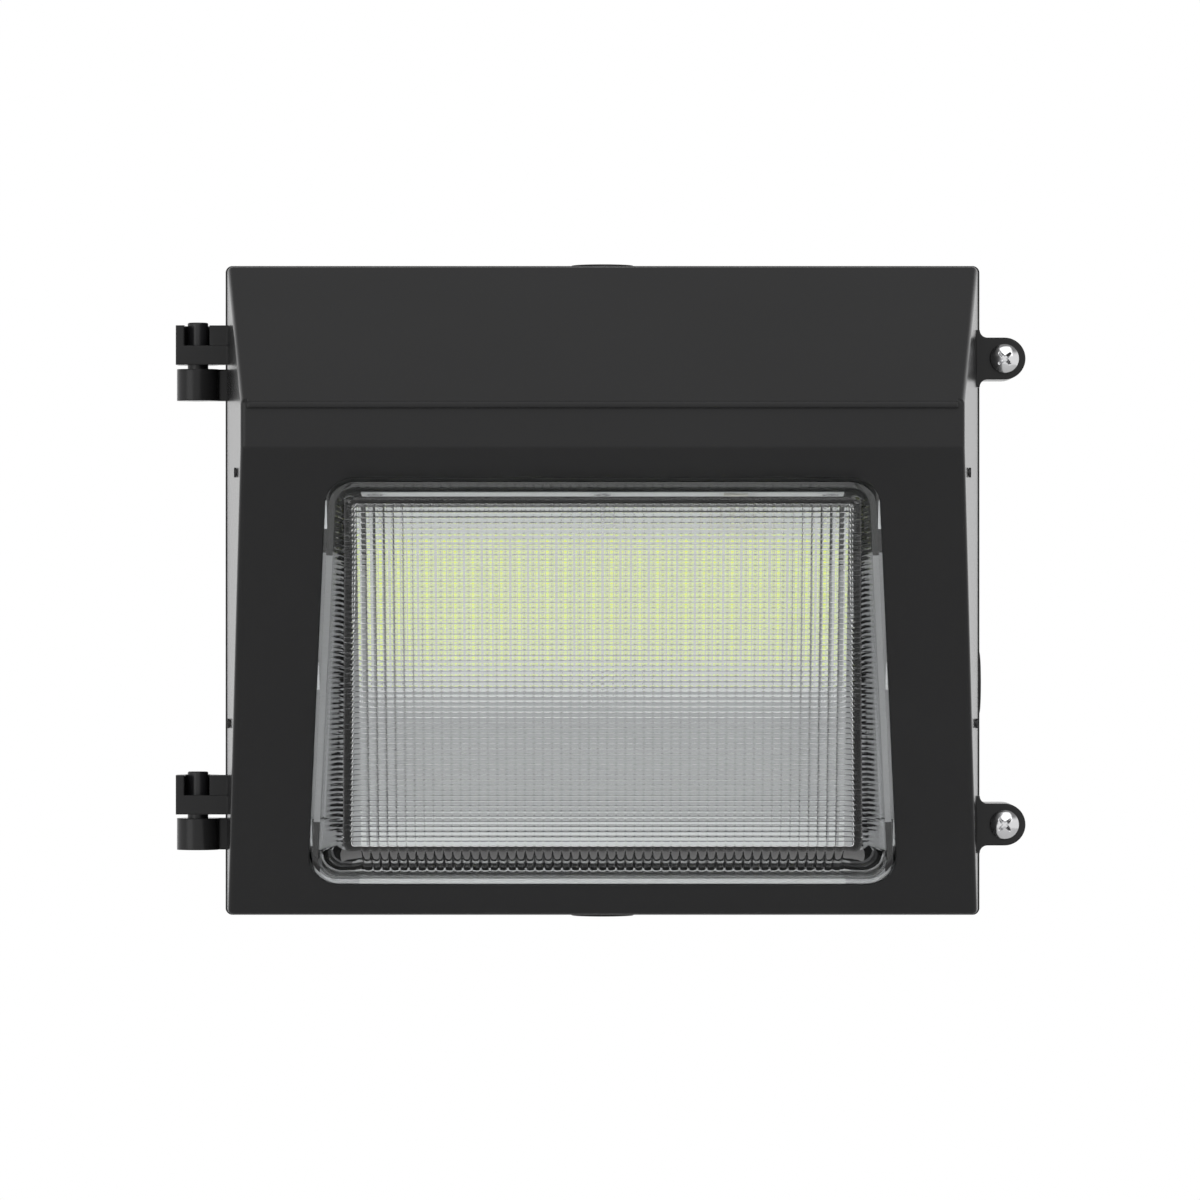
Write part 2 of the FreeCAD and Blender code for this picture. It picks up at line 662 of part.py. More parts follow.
# Hinge arms: square in front, solid round the pin below, open to the front above
armFront = f"-({hingeDepth} + knuckle_radius)"
armRoot = "-(body_width / 2 - door_wall / 2)"
for name, top in hinges.items():
    lift = f"({top} - arm_tall)"
    arm = newSketch(door, f"Arm_{name}", "XY_Plane", lift)
    addCircle(arm, hingeAcross, f"-{hingeDepth}", "knuckle_radius")
    pad(arm, "arm_tall")
    armEnd = newSketch(door, f"ArmEnd_{name}", "XY_Plane", lift)
    addOutline(armEnd, box(f"{hingeAcross} - knuckle_radius", hingeAcross, armFront, f"-{hingeDepth}"))
    pad(armEnd, "arm_tall")
    armWeb = newSketch(door, f"ArmWeb_{name}", "XY_Plane", lift)
    addOutline(armWeb, box(hingeAcross, armRoot, f"-({doorBack} + hinge_web)", f"-{doorBack}"))
    pad(armWeb, "arm_tall")
    armPlate = newSketch(door, f"ArmPlate_{name}", "XY_Plane", lift)
    addOutline(armPlate, box(hingeAcross, armRoot, armFront, f"-{doorBack}"))
    pad(armPlate, "arm_tall - slot_tall")
    armHole = newSketch(door, f"ArmHole_{name}", "XY_Plane", lift)
    addCircle(armHole, hingeAcross, f"-{hingeDepth}", "pin_radius + pin_clearance")
    pocket(armHole, "arm_tall", "Reversed")
    slot = newSketch(door, f"Slot_{name}", "XY_Plane", top)
    addOutline(slot, [
        (f"{hingeAcross} + slot_width / 2", f"-{hingeDepth}", "slot_width / 2", 1),
        (hingeAcross, f"-{hingeDepth} + slot_width / 2", "slot_width / 2", 1),
        (f"{hingeAcross} - slot_width / 2", f"-{hingeDepth}"),
        (f"{hingeAcross} - slot_width / 2", f"-{hingeDepth} - 1.5 * knuckle_radius"),
        (f"{hingeAcross} + slot_width / 2", f"-{hingeDepth} - 1.5 * knuckle_radius"),
    ])
    pocket(slot, "slot_tall")

# Screw lugs with a pocket behind for the ring that keeps the screw
for name, up in lugs.items():
    lug = newSketch(door, f"Lug_{name}", "XZ_Plane", doorBack)
    addOutline(lug, lugOutline(up))
    pad(lug, "door_lug")
    lugHole = newSketch(door, f"LugHole_{name}", "XZ_Plane", doorBack)
    addCircle(lugHole, lugAcross, up, "lug_hole_radius")
    pocket(lugHole, "door_lug", "Reversed")
    ringPocket = newSketch(door, f"RingPocket_{name}", "XZ_Plane", doorBack)
    addCircle(ringPocket, lugAcross, up, "ring_pocket_radius")
    pocket(ringPocket, "ring_pocket_depth", "Reversed")


# The lens, its seal and clips, the tray and the board lie parallel to the door's lower face

def faceSketch(body, name, lift="0", along="0", turn="0"):
    """A sketch parallel to the lower face: lift is outward, along is up the slope from the lens's middle."""
    sketch = newSketch(body, name, "XZ_Plane")
    tilted = FreeCAD.Rotation(FreeCAD.Vector(1, 0, 0), 1)
    sketch.AttachmentOffset = FreeCAD.Placement(FreeCAD.Vector(), tilted)
    bind(
        sketch,
        AttachmentOffset__Base__y=f"{glassMiddle} + ({along}) * cos({faceTilt}) - ({lift}) * sin({faceTilt})",
        AttachmentOffset__Base__z=f"{faceDepth} + ({along}) * sin({faceTilt}) + ({lift}) * cos({faceTilt})",
        AttachmentOffset__Rotation__Angle=f"{faceTilt} - ({turn})",
    )
    return sketch


def glassOutline(grow):
    """The lens's outline on the lower face, wider at the foot, grown by a distance all round."""
    return [
        (f"-(glass_foot_width / 2 + {grow})", f"-({glassLength} / 2 + {grow})"),
        (f"(glass_foot_width / 2 + {grow})", f"-({glassLength} / 2 + {grow})"),
        (f"(glass_top_width / 2 + {grow})", f"({glassLength} / 2 + {grow})"),
        (f"-(glass_top_width / 2 + {grow})", f"({glassLength} / 2 + {grow})"),
    ]


def faceNormal():
    angle = math.radians(number(faceTilt))
    return FreeCAD.Vector(0, -math.cos(angle), -math.sin(angle))


def squareToFace(edge):
    """True for a straight edge that is square to the lower face, as at a corner of a plate or opening."""
    return len(edge.Vertexes) == 2 and abs(edge.tangentAt(edge.FirstParameter).dot(faceNormal())) > 0.999


def proudOfFlange(edge):
    """How far an edge's middle stands outward of the front of the lens's flange."""
    flangeFront = FreeCAD.Vector(0, -number(faceDepth), number(glassMiddle))
    return (middle(edge) - flangeFront).dot(faceNormal()) + number("door_wall + lens_seal")


def halfGlass(along):
    """Half the lens's width at a place along its slope."""
    taper = f"(glass_top_width - glass_foot_width) / 2 / {glassLength}"
    return f"((glass_top_width + glass_foot_width) / 4 + {taper} * ({along}))"


opening = faceSketch(door, "Opening", "door_wall")
addOutline(opening, glassOutline("glass_gap"))
pocket(opening, "3 * door_wall")
fillet(door, "OpeningCorners", "glass_corner + glass_gap",
       lambda edge: squareToFace(edge) and proudOfFlange(edge) > 0)
flangeBack = "(door_wall + lens_seal + flange_thickness)"
clipPlaces = [
    (f"{side} * ({halfGlass(along)} + glass_flange + clip_out)", along, side)
    for side in (-1, 1)
    for along in (f"-({glassLength} / 2 - clip_margin)", "0", f"({glassLength} / 2 - clip_margin)")
]
topClips = f"{glassLength} / 2 + glass_flange + clip_out"
clipPlaces += [(f"{side} * clip_top_across", topClips, 0) for side in (-1, 1)]
clipBosses = faceSketch(door, "ClipBosses", "-door_wall / 2")
for across, along, side in clipPlaces:
    addCircle(clipBosses, across, along, "clip_boss_radius")
pad(clipBosses, f"{flangeBack} - door_wall / 2", "Reversed")
clipHoles = faceSketch(door, "ClipHoles", f"-{flangeBack}")
for across, along, side in clipPlaces:
    addCircle(clipHoles, across, along, "small_screw_radius + small_screw_clearance")
pocket(clipHoles, "lens_seal + flange_thickness", "Reversed")
trayScrews = [
    (f"-({faceDepth} + ({along}) * sin({faceTilt}) - (tray_depth + tray_screw_behind) * cos({faceTilt}))",
     f"{glassMiddle} + ({along}) * cos({faceTilt}) + (tray_depth + tray_screw_behind) * sin({faceTilt})")
    for along in (f"{glassLength} / 2 - tray_screw_margin",
                  f"{glassLength} / 2 - tray_screw_margin - tray_screw_spacing")
]
sideHoles = newSketch(door, "SideHoles", "YZ_Plane")
for depth, up in trayScrews:
    addCircle(sideHoles, depth, up, "tray_screw_radius + small_screw_clearance")
pocket(sideHoles, "body_width", "Symmetric")


# The lens: a bowl lofted from its outline on the lower face to a flatter, narrower front panel

lens = newBody("lens")
flangePlate = faceSketch(lens, "FlangePlate", f"-{flangeBack}")
addOutline(flangePlate, glassOutline("glass_flange"))
pad(flangePlate, "flange_thickness")
fillet(lens, "FlangeCorners", "glass_corner + glass_flange", squareToFace)


def glassLoft(name, kind, inset):
    """Lofts between the outline at the flange's back and the front panel, both drawn in by inset."""
    base = faceSketch(lens, f"{name}Base", f"-{flangeBack}")
    addOutline(base, glassOutline(f"(-({inset}))"))
    lift = f"(glass_rise - ({inset}) * cos(glass_turn))"
    along = f"({glassFrontTop} - ({inset}) * sin(glass_turn))"
    front = faceSketch(lens, f"{name}Front", lift, along, "glass_turn")
    addOutline(front, box(f"-(glass_front_width / 2 - {inset})", f"glass_front_width / 2 - {inset}",
                          f"-({glassLength} - glass_front_drop - glass_front_foot - {inset})", f"-{inset}"))
    feature = lens.newObject(f"PartDesign::{kind}", f"lens_{name}")
    feature.Profile = base
    feature.Sections = [front]
    feature.Ruled = True
    return feature


def onGlassFront(edge):
    """True for an edge that lies in the front panel's plane."""
    along = number(f"{faceTilt} - glass_turn")
    normal = FreeCAD.Vector(0, -math.cos(math.radians(along)), -math.sin(math.radians(along)))
    lift, up = number("glass_rise"), number(glassFrontTop)
    tilt = math.radians(number(faceTilt))
    top = FreeCAD.Vector(
        0,
        -(number(faceDepth) + up * math.sin(tilt) + lift * math.cos(tilt)),
        number(glassMiddle) + up * math.cos(tilt) - lift * math.sin(tilt),
    )
    return all(abs((vertex.Point - top).dot(normal)) < 0.01 for vertex in edge.Vertexes)


glassLoft("Outside", "AdditiveLoft", "0")
fillet(lens, "SideCorners", "glass_corner",
       lambda edge: proudOfFlange(edge) > 1 and edge.BoundBox.ZLength < 60 and edge.BoundBox.XLength < 60)
fillet(lens, "FrontEdges", "glass_edge", lambda edge: proudOfFlange(edge) > 1 and onGlassFront(edge))
glassLoft("Inside", "SubtractiveLoft", "glass_wall")
lensGasket = newBody("lens_gasket")
sealRing = faceSketch(lensGasket, "Ring", "-(door_wall + lens_seal)")
addOutline(sealRing, glassOutline("glass_flange"))
addOutline(sealRing, glassOutline("glass_gap"))
pad(sealRing, "lens_seal")
fillet(lensGasket, "Corners", "glass_corner", squareToFace)

# Clips press the lens's flange to the door, each across a boss and the flange's edge
clips = newBody("lens_clips")
clipPlates = faceSketch(clips, "Plates", f"-{flangeBack}")
inward = "(clip_length - clip_boss_radius)"
for across, along, side in clipPlaces:
    left = "clip_width / 2" if side == 0 else inward if side > 0 else "clip_boss_radius"
    right = "clip_width / 2" if side == 0 else inward if side < 0 else "clip_boss_radius"
    foot = "clip_width / 2" if side else inward
    top = "clip_width / 2" if side else "clip_boss_radius"
    addOutline(clipPlates, box(f"{across} - {left}", f"{across} + {right}",
                               f"{along} - {foot}", f"{along} + {top}"))
pad(clipPlates, "clip_thickness", "Reversed")
clipScrewHoles = faceSketch(clips, "ScrewHoles", f"-{flangeBack}")
for across, along, side in clipPlaces:
    addCircle(clipScrewHoles, across, along, "small_screw_radius + small_screw_clearance")
pocket(clipScrewHoles, "clip_thickness")


def faceScrews(label, places, seat, bite, inward):
    """One body of equal pan head screws square to the lower face, with their heads inward or outward."""
    body = newBody(label)
    heads = faceSketch(body, "Heads", seat)
    shanks = faceSketch(body, "Shanks", seat)
    for place in places:
        addCircle(heads, place[0], place[1], "small_head_radius")
        addCircle(shanks, place[0], place[1], "small_screw_radius")
    pad(heads, "small_head_tall", "Reversed" if inward else "One side")
    pad(shanks, bite, "One side" if inward else "Reversed")


faceScrews("clip_screws", clipPlaces, f"-({flangeBack} + clip_thickness)",
           "clip_thickness + small_screw_bite", True)


# LED tray: a plate with a flange bent back at each side, held by two screws through each door side

def halfTray(along):
    """Half the room between the door's side walls at the tray's front, less its clearance."""
    depth = f"({faceDepth} + ({along}) * sin({faceTilt}) - tray_depth * cos({faceTilt}) - {doorBack})"
    return f"(body_width / 2 - {depth} * tan(side_draft) - door_wall / cos(side_draft) - tray_clearance)"


def trayOutline(grow, inset):
    """The tray's outline, longer at both ends by grow and narrower at the sides by inset."""
    # the foot of its flange clears the door's rim
    trayBack = f"({faceDepth} - (tray_depth + tray_flange) * cos({faceTilt}))"
    foot = f"-({trayBack} - {doorBack} - door_rim - tray_clearance) / sin({faceTilt}) - {grow}"
    top = f"{glassLength} / 2 + tray_over + {grow}"
    return [
        (f"-({halfTray(foot)} - {inset})", foot),
        (f"{halfTray(foot)} - {inset}", foot),
        (f"{halfTray(top)} - {inset}", top),
        (f"-({halfTray(top)} - {inset})", top),
    ]


tray = newBody("led_tray")
trayPlate = faceSketch(tray, "Plate", "-tray_depth")
addOutline(trayPlate, trayOutline("0", "0"))
pad(trayPlate, "tray_flange", "Reversed")
trayHollow = faceSketch(tray, "Hollow", "-(tray_depth + tray_flange)")
addOutline(trayHollow, trayOutline("tray_sheet", "tray_sheet"))
pocket(trayHollow, "tray_flange - tray_sheet", "Reversed")
flangeHoles = newSketch(tray, "FlangeHoles", "YZ_Plane")
for depth, up in trayScrews:
    addCircle(flangeHoles, depth, up, "tray_screw_radius + small_screw_clearance")
pocket(flangeHoles, "body_width", "Symmetric")

sideScrews = newBody("tray_screws")
for place, (depth, up) in enumerate(trayScrews):
    outside = f"(body_width / 2 + ({depth} + {doorBack} + tray_head_radius) * tan(side_draft))"
    for side in (-1, 1):
        outward = "Reversed" if side < 0 else "One side"
        inward = "One side" if side < 0 else "Reversed"
        head = newSketch(sideScrews, f"Head_{place}_{side + 1}", "YZ_Plane", f"{side} * {outside}")
        addCircle(head, depth, up, "tray_head_radius")
        pad(head, "tray_head_tall", outward)
        stem = newSketch(sideScrews, f"Stem_{place}_{side + 1}", "YZ_Plane", f"{side} * {outside}")
        addCircle(stem, depth, up, "tray_screw_radius")
        pad(stem, "tray_screw_bite", inward)

# LED board on the tray, with its chips, screws and connector
board = newBody("led_board")
boardPlate = faceSketch(board, "Plate", "-tray_depth")
addOutline(boardPlate, box("-board_width / 2", "board_width / 2", f"{boardTop} - board_height", boardTop))
pad(boardPlate, "board_thickness")
boardScrews = [
    (f"{side} * (board_width / 2 - board_edge)", along)
    for side in (-1, 0, 1)
    for along in (f"{boardTop} - board_edge", f"{boardTop} - board_height + board_edge")
]
for item, name in ((board, "Holes"), (tray, "BoardHoles")):
    holes = faceSketch(item, name, "-(tray_depth + tray_sheet)")
    for across, along in boardScrews:
        addCircle(holes, across, along, "small_screw_radius + small_screw_clearance")
    pocket(holes, "tray_sheet + board_thickness", "Reversed")
faceScrews("board_screws", boardScrews, "-(tray_depth - board_thickness)", "board_screw_length", False)
connector = newBody("board_connector")
connectorBlock = faceSketch(connector, "Block", "-(tray_depth - board_thickness)")
addOutline(connectorBlock, box("board_width / 4", "board_width / 4 + connector_width",
                               f"{boardTop} - board_edge - connector_height / 2",
                               f"{boardTop} - board_edge + connector_height / 2"))
pad(connectorBlock, "connector_depth")

chipWidth = number("led_width")
chipHeight = number("led_height")
chips = []
for column in range(int(number("led_columns"))):
    for line in range(int(number("led_rows"))):
        across = (column - (number("led_columns") - 1) / 2) * number("led_pitch")
        along = number(f"{boardTop} - led_drop") - line * number("led_row_pitch")
        corner = FreeCAD.Vector(across - chipWidth / 2, along - chipHeight / 2, 0)
        chips.append(Part.makeBox(chipWidth, chipHeight, number("led_tall"), corner))
ledChips = document.addObject("Part::Feature", "led_chips")
ledChips.Shape = Part.makeCompound(chips)
ledChips.Placement = FreeCAD.Placement(FreeCAD.Vector(), FreeCAD.Rotation(FreeCAD.Vector(1, 0, 0), 1))
bind(
    ledChips,
    Placement__Base__y=f"-({faceDepth} - (tray_depth - board_thickness) * cos({faceTilt}))",
    Placement__Base__z=f"{glassMiddle} + (tray_depth - board_thickness) * sin({faceTilt})",
    Placement__Rotation__Angle=f"90 + {faceTilt}",
)
pieces.append(ledChips)


# Captive screws: a pan head on the door's lug, a shank into the housing's lug, and a ring on the shank

screwSeat = f"({doorBack} + door_lug)"
for name, up in lugs.items():
    screw = newBody(f"captive_screw_{name}")
    head = newSketch(screw, "Head", "XZ_Plane", screwSeat)
    addCircle(head, lugAcross, up, "screw_head_radius")
    pad(head, "screw_head_tall")
    fillet(screw, "Dome", "screw_head_tall * 0.7",
           lambda edge: edge.Closed and middle(edge).y < number(f"-({screwSeat} + screw_head_tall / 2)"))
    core = newSketch(screw, "Core", "XZ_Plane", screwSeat)
    addCircle(core, lugAcross, up, "screw_core_radius")
    pad(core, "screw_length", "Reversed")
    for run, (long, wide) in enumerate((("cross_length", "cross_width"), ("cross_width", "cross_length"))):
        cross = newSketch(screw, f"Cross_{run}", "XZ_Plane", f"{screwSeat} + screw_head_tall")
        addOutline(cross, box(f"{lugAcross} - {long} / 2", f"{lugAcross} + {long} / 2",
                              f"{up} - {wide} / 2", f"{up} + {wide} / 2"))
        pocket(cross, "cross_depth")
    ring = newBody(f"captive_ring_{name}")
    washer = newSketch(ring, "Washer", "XZ_Plane", f"{doorBack} + ring_inset")
    addCircle(washer, lugAcross, up, "ring_radius")
    addCircle(washer, lugAcross, up, "screw_core_radius")
    pad(washer, "ring_tall")


# Checked and written out

document.recompute()
for item in document.Objects:
    if "Invalid" in item.State or "Error" in item.State:
        raise RuntimeError(f"{item.Label} failed: {item.State}")
os.makedirs("parts", exist_ok=True)
for piece in pieces:
    if piece.Shape.isNull() or not piece.Shape.isValid():
        raise RuntimeError(f"{piece.Label} has no valid shape")
    piece.Shape.exportStep(f"parts/{piece.Label}.step")
    print(f"{piece.Label}: {len(piece.Shape.Solids)} solids, {piece.Shape.Volume:.0f} mm3")
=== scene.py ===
import json
import math

import bmesh
import bpy
from mathutils import Matrix, Vector


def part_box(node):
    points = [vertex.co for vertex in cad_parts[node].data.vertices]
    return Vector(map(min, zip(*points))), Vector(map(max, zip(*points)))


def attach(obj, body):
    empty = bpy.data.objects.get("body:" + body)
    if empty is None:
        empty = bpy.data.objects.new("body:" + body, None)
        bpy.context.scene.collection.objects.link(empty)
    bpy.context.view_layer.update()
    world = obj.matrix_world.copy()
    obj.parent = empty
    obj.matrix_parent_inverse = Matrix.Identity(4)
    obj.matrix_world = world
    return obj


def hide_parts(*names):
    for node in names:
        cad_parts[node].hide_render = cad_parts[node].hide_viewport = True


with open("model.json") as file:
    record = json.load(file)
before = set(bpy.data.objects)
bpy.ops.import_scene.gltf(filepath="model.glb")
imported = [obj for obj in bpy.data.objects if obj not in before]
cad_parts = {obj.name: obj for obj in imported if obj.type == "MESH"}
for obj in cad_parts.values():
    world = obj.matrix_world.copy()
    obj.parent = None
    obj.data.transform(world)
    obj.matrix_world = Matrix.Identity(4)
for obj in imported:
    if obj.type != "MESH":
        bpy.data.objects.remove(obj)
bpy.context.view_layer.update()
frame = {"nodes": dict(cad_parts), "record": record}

mm = 0.001  # sizes of pieces are written in millimetres, the studio's in metres
print("frame loaded:", len(frame["nodes"]), "nodes")


# camera, in front of the light as in the photograph

view = {
    "imagePixels": 1200,
    "pixelAtRim": 0.438,  # millimetres that a pixel spans at the door's back edge
    "distance": 3200.0,  # from the camera to the door's back edge
    "rimDepth": 55.5,
    "across": -1.1,
    "up": -4.2,
    "sensor": 36.0,
    "farthest": 100.0,  # metres
}


def addCamera():
    data = bpy.data.cameras.new("viewer")
    data.sensor_width = view["sensor"]
    data.lens = view["sensor"] * view["distance"] / (view["imagePixels"] * view["pixelAtRim"])
    data.clip_end = view["farthest"]
    camera = bpy.data.objects.new("viewer", data)
    bpy.context.collection.objects.link(camera)
    camera.location = Vector((view["across"], -(view["rimDepth"] + view["distance"]), view["up"])) * mm
    camera.rotation_euler = (math.radians(90), 0, 0)
    bpy.context.scene.camera = camera


addCamera()
bpy.context.scene.view_settings.view_transform = "Standard"


# shader helpers

def newMaterial(name):
    material = bpy.data.materials.new(name)
    material.use_nodes = True
    return material, material.node_tree.nodes["Principled BSDF"]


def addNode(tree, kind, **values):
    node = tree.nodes.new(kind)
    for name, value in values.items():
        setattr(node, name, value)
    return node


def newGroup(name, inputs, outputs):
    tree = bpy.data.node_groups.new(name, "ShaderNodeTree")
    for label, value in inputs.items():
        socket = tree.interface.new_socket(label, in_out="INPUT", socket_type="NodeSocketFloat")
        socket.default_value = value
    for label in outputs:
        tree.interface.new_socket(label, in_out="OUTPUT", socket_type="NodeSocketFloat")
    return tree, tree.nodes.new("NodeGroupInput"), tree.nodes.new("NodeGroupOutput")


def placeGroup(material, group, **values):
    node = addNode(material.node_tree, "ShaderNodeGroup", node_tree=group)
    for name, value in values.items():
        node.inputs[name].default_value = value
    return node


def ranged(material, source, low, high):
    # spreads a mask from 0..1 to low..high
    node = addNode(material.node_tree, "ShaderNodeMapRange")
    node.inputs["To Min"].default_value = low
    node.inputs["To Max"].default_value = high
    material.node_tree.links.new(source, node.inputs["Value"])
    return node.outputs["Result"]


def colourOut(mix):
    # a Mix node has a result for each kind of data, and one of them is the colour
    return next(socket for socket in mix.outputs if socket.type == "RGBA")


def tinted(material, source, first, second):
    # a colour between two, by a mask
    node = addNode(material.node_tree, "ShaderNodeMix", data_type="RGBA")
    node.inputs["A"].default_value = (*first, 1)
    node.inputs["B"].default_value = (*second, 1)
    material.node_tree.links.new(source, node.inputs["Factor"])
    return colourOut(node)


def bumped(material, height, strength, distance, normal=None):
    node = addNode(material.node_tree, "ShaderNodeBump")
    node.inputs["Strength"].default_value = strength
    node.inputs["Distance"].default_value = distance
    material.node_tree.links.new(height, node.inputs["Height"])
    if normal is not None:
        material.node_tree.links.new(normal, node.inputs["Normal"])
    return node.outputs["Normal"]


def pastLimit(tree, source, direction, limit):
    # 1 where a vector reaches further than the limit along a direction, else 0
    along = addNode(tree, "ShaderNodeVectorMath", operation="DOT_PRODUCT")
    along.inputs[1].default_value = direction
    tree.links.new(source, along.inputs[0])
    past = addNode(tree, "ShaderNodeMath", operation="GREATER_THAN")
    past.inputs[1].default_value = limit
    tree.links.new(along.outputs["Value"], past.inputs[0])
    return past.outputs["Value"]


def mixedShaders(tree, share, first, second):
    mix = addNode(tree, "ShaderNodeMixShader")
    tree.links.new(share, mix.inputs["Fac"])
    tree.links.new(first, mix.inputs[1])
    tree.links.new(second, mix.inputs[2])
    return mix.outputs["Shader"]


def seenPlainly(tree, path):
    # 1 for what the camera sees, also through glass
    seen = addNode(tree, "ShaderNodeMath", operation="ADD", use_clamp=True)
    tree.links.new(path.outputs["Is Camera Ray"], seen.inputs[0])
    tree.links.new(path.outputs["Is Transmission Ray"], seen.inputs[1])
    return seen.outputs["Value"]


def grainGroup():
    # fine grain and broad clouds in the piece's own coordinates
    tree, entry, leave = newGroup("grain", {"Fine": 900.0, "Broad": 18.0}, ["Grain", "Clouds"])
    place = addNode(tree, "ShaderNodeTexCoord")
    for label, output, detail in (("Fine", "Grain", 3.0), ("Broad", "Clouds", 4.0)):
        noise = addNode(tree, "ShaderNodeTexNoise")
        noise.inputs["Detail"].default_value = detail
        tree.links.new(place.outputs["Object"], noise.inputs["Vector"])
        tree.links.new(entry.outputs[label], noise.inputs["Scale"])
        tree.links.new(noise.outputs["Fac"], leave.inputs[output])
    return tree


def brushGroup():
    # straight scratches along X, with how long and how fine they are
    tree, entry, leave = newGroup("brushing", {"Length": 12.0, "Fine": 2500.0}, ["Streaks"])
    place = addNode(tree, "ShaderNodeTexCoord")
    stretch = addNode(tree, "ShaderNodeVectorMath", operation="MULTIPLY")
    scales = addNode(tree, "ShaderNodeCombineXYZ")
    tree.links.new(entry.outputs["Length"], scales.inputs["X"])
    tree.links.new(entry.outputs["Fine"], scales.inputs["Y"])
    tree.links.new(entry.outputs["Fine"], scales.inputs["Z"])
    tree.links.new(place.outputs["Object"], stretch.inputs[0])
    tree.links.new(scales.outputs["Vector"], stretch.inputs[1])
    noise = addNode(tree, "ShaderNodeTexNoise")
    noise.inputs["Scale"].default_value = 1.0
    noise.inputs["Detail"].default_value = 5.0
    tree.links.new(stretch.outputs["Vector"], noise.inputs["Vector"])
    tree.links.new(noise.outputs["Fac"], leave.inputs["Streaks"])
    return tree


grain = grainGroup()
brushing = brushGroup()


# finishes

def grainyFinish(name, looks):
    # a coloured finish with grain in its colour, gloss and relief
    material, shader = newMaterial(name)
    links = material.node_tree.links
    texture = placeGroup(material, grain, Fine=looks["fine"], Broad=looks["broad"])
    colour = tinted(material, texture.outputs["Clouds"], looks["dark"], looks["light"])
    links.new(colour, shader.inputs["Base Color"])
    gloss = ranged(material, texture.outputs["Grain"], *looks["roughness"])
    links.new(gloss, shader.inputs["Roughness"])
    base = None
    if "edge" in looks:
        rounded = addNode(material.node_tree, "ShaderNodeBevel", samples=4)
        rounded.inputs["Radius"].default_value = looks["edge"] * mm
        base = rounded.outputs["Normal"]
    relief = bumped(material, texture.outputs["Grain"], looks["relief"], looks["reliefDepth"] * mm, base)
    links.new(relief, shader.inputs["Normal"])
    shader.inputs["Metallic"].default_value = looks.get("metallic", 0.0)
    shader.inputs["Specular IOR Level"].default_value = looks.get("specular", 0.5)
    # a glow is painted light: the finish gives off light in its light colour
    if "glow" in looks:
        shader.inputs["Emission Color"].default_value = (*looks["light"], 1)
        shader.inputs["Emission Strength"].default_value = looks["glow"]
    return material


powderCoat = grainyFinish("satin_powder_coat", {
    "dark": (0.0165, 0.0165, 0.0170), "light": (0.0205, 0.0205, 0.0210),
    "fine": 1500.0, "broad": 14.0, "roughness": (0.16, 0.27),
    "relief": 0.05, "reliefDepth": 0.04, "edge": 1.3, "specular": 0.22,
})
blackOxide = grainyFinish("black_oxide_steel", {
    "dark": (0.012, 0.012, 0.013), "light": (0.020, 0.020, 0.022),
    "fine": 2400.0, "broad": 60.0, "roughness": (0.24, 0.40),
    "relief": 0.08, "reliefDepth": 0.03, "specular": 0.4,
})
blackNylon = grainyFinish("moulded_black_nylon", {
    "dark": (0.010, 0.010, 0.010), "light": (0.016, 0.016, 0.016),
    "fine": 3200.0, "broad": 50.0, "roughness": (0.36, 0.52),
    "relief": 0.15, "reliefDepth": 0.03, "edge": 0.3, "specular": 0.35,
})
silicone = grainyFinish("grey_silicone", {
    "dark": (0.050, 0.050, 0.052), "light": (0.075, 0.075, 0.078),
    "fine": 2600.0, "broad": 45.0, "roughness": (0.52, 0.70),
    "relief": 0.12, "reliefDepth": 0.04,
})
zincSteel = grainyFinish("bright_zinc_steel", {
    "dark": (0.64, 0.64, 0.65), "light": (0.72, 0.72, 0.73),
    "fine": 3800.0, "broad": 160.0, "roughness": (0.10, 0.20),
    "relief": 0.05, "reliefDepth": 0.02, "metallic": 1.0,
})
greenSteel = grainyFinish("green_passivated_steel", {
    "dark": (0.04, 0.24, 0.08), "light": (0.08, 0.36, 0.14),
    "fine": 3800.0, "broad": 160.0, "roughness": (0.16, 0.30),
    "relief": 0.05, "reliefDepth": 0.02, "metallic": 0.8,
})
paleNylon = grainyFinish("moulded_pale_nylon", {
    "dark": (0.70, 0.69, 0.63), "light": (0.78, 0.77, 0.72),
    "fine": 3200.0, "broad": 50.0, "roughness": (0.36, 0.50),
    "relief": 0.10, "reliefDepth": 0.03, "edge": 0.3,
})
solderMask = grainyFinish("white_solder_mask", {
    "dark": (0.74, 0.75, 0.75), "light": (0.82, 0.83, 0.83),
    "fine": 2600.0, "broad": 35.0, "roughness": (0.30, 0.42),
    "relief": 0.05, "reliefDepth": 0.02,
})
# the phosphor's glow is painted light, which brightens the unlit chips behind the lens
phosphor = grainyFinish("yellow_phosphor", {
    "dark": (0.74, 0.92, 0.02), "light": (0.84, 0.98, 0.05),
    "fine": 9000.0, "broad": 800.0, "roughness": (0.40, 0.60),
    "relief": 0.15, "reliefDepth": 0.02, "glow": 0.5,
})
chipWhite = grainyFinish("white_chip_package", {
    "dark": (0.78, 0.78, 0.75), "light": (0.86, 0.86, 0.83),
    "fine": 6000.0, "broad": 500.0, "roughness": (0.30, 0.45),
    "relief": 0.05, "reliefDepth": 0.01,
})


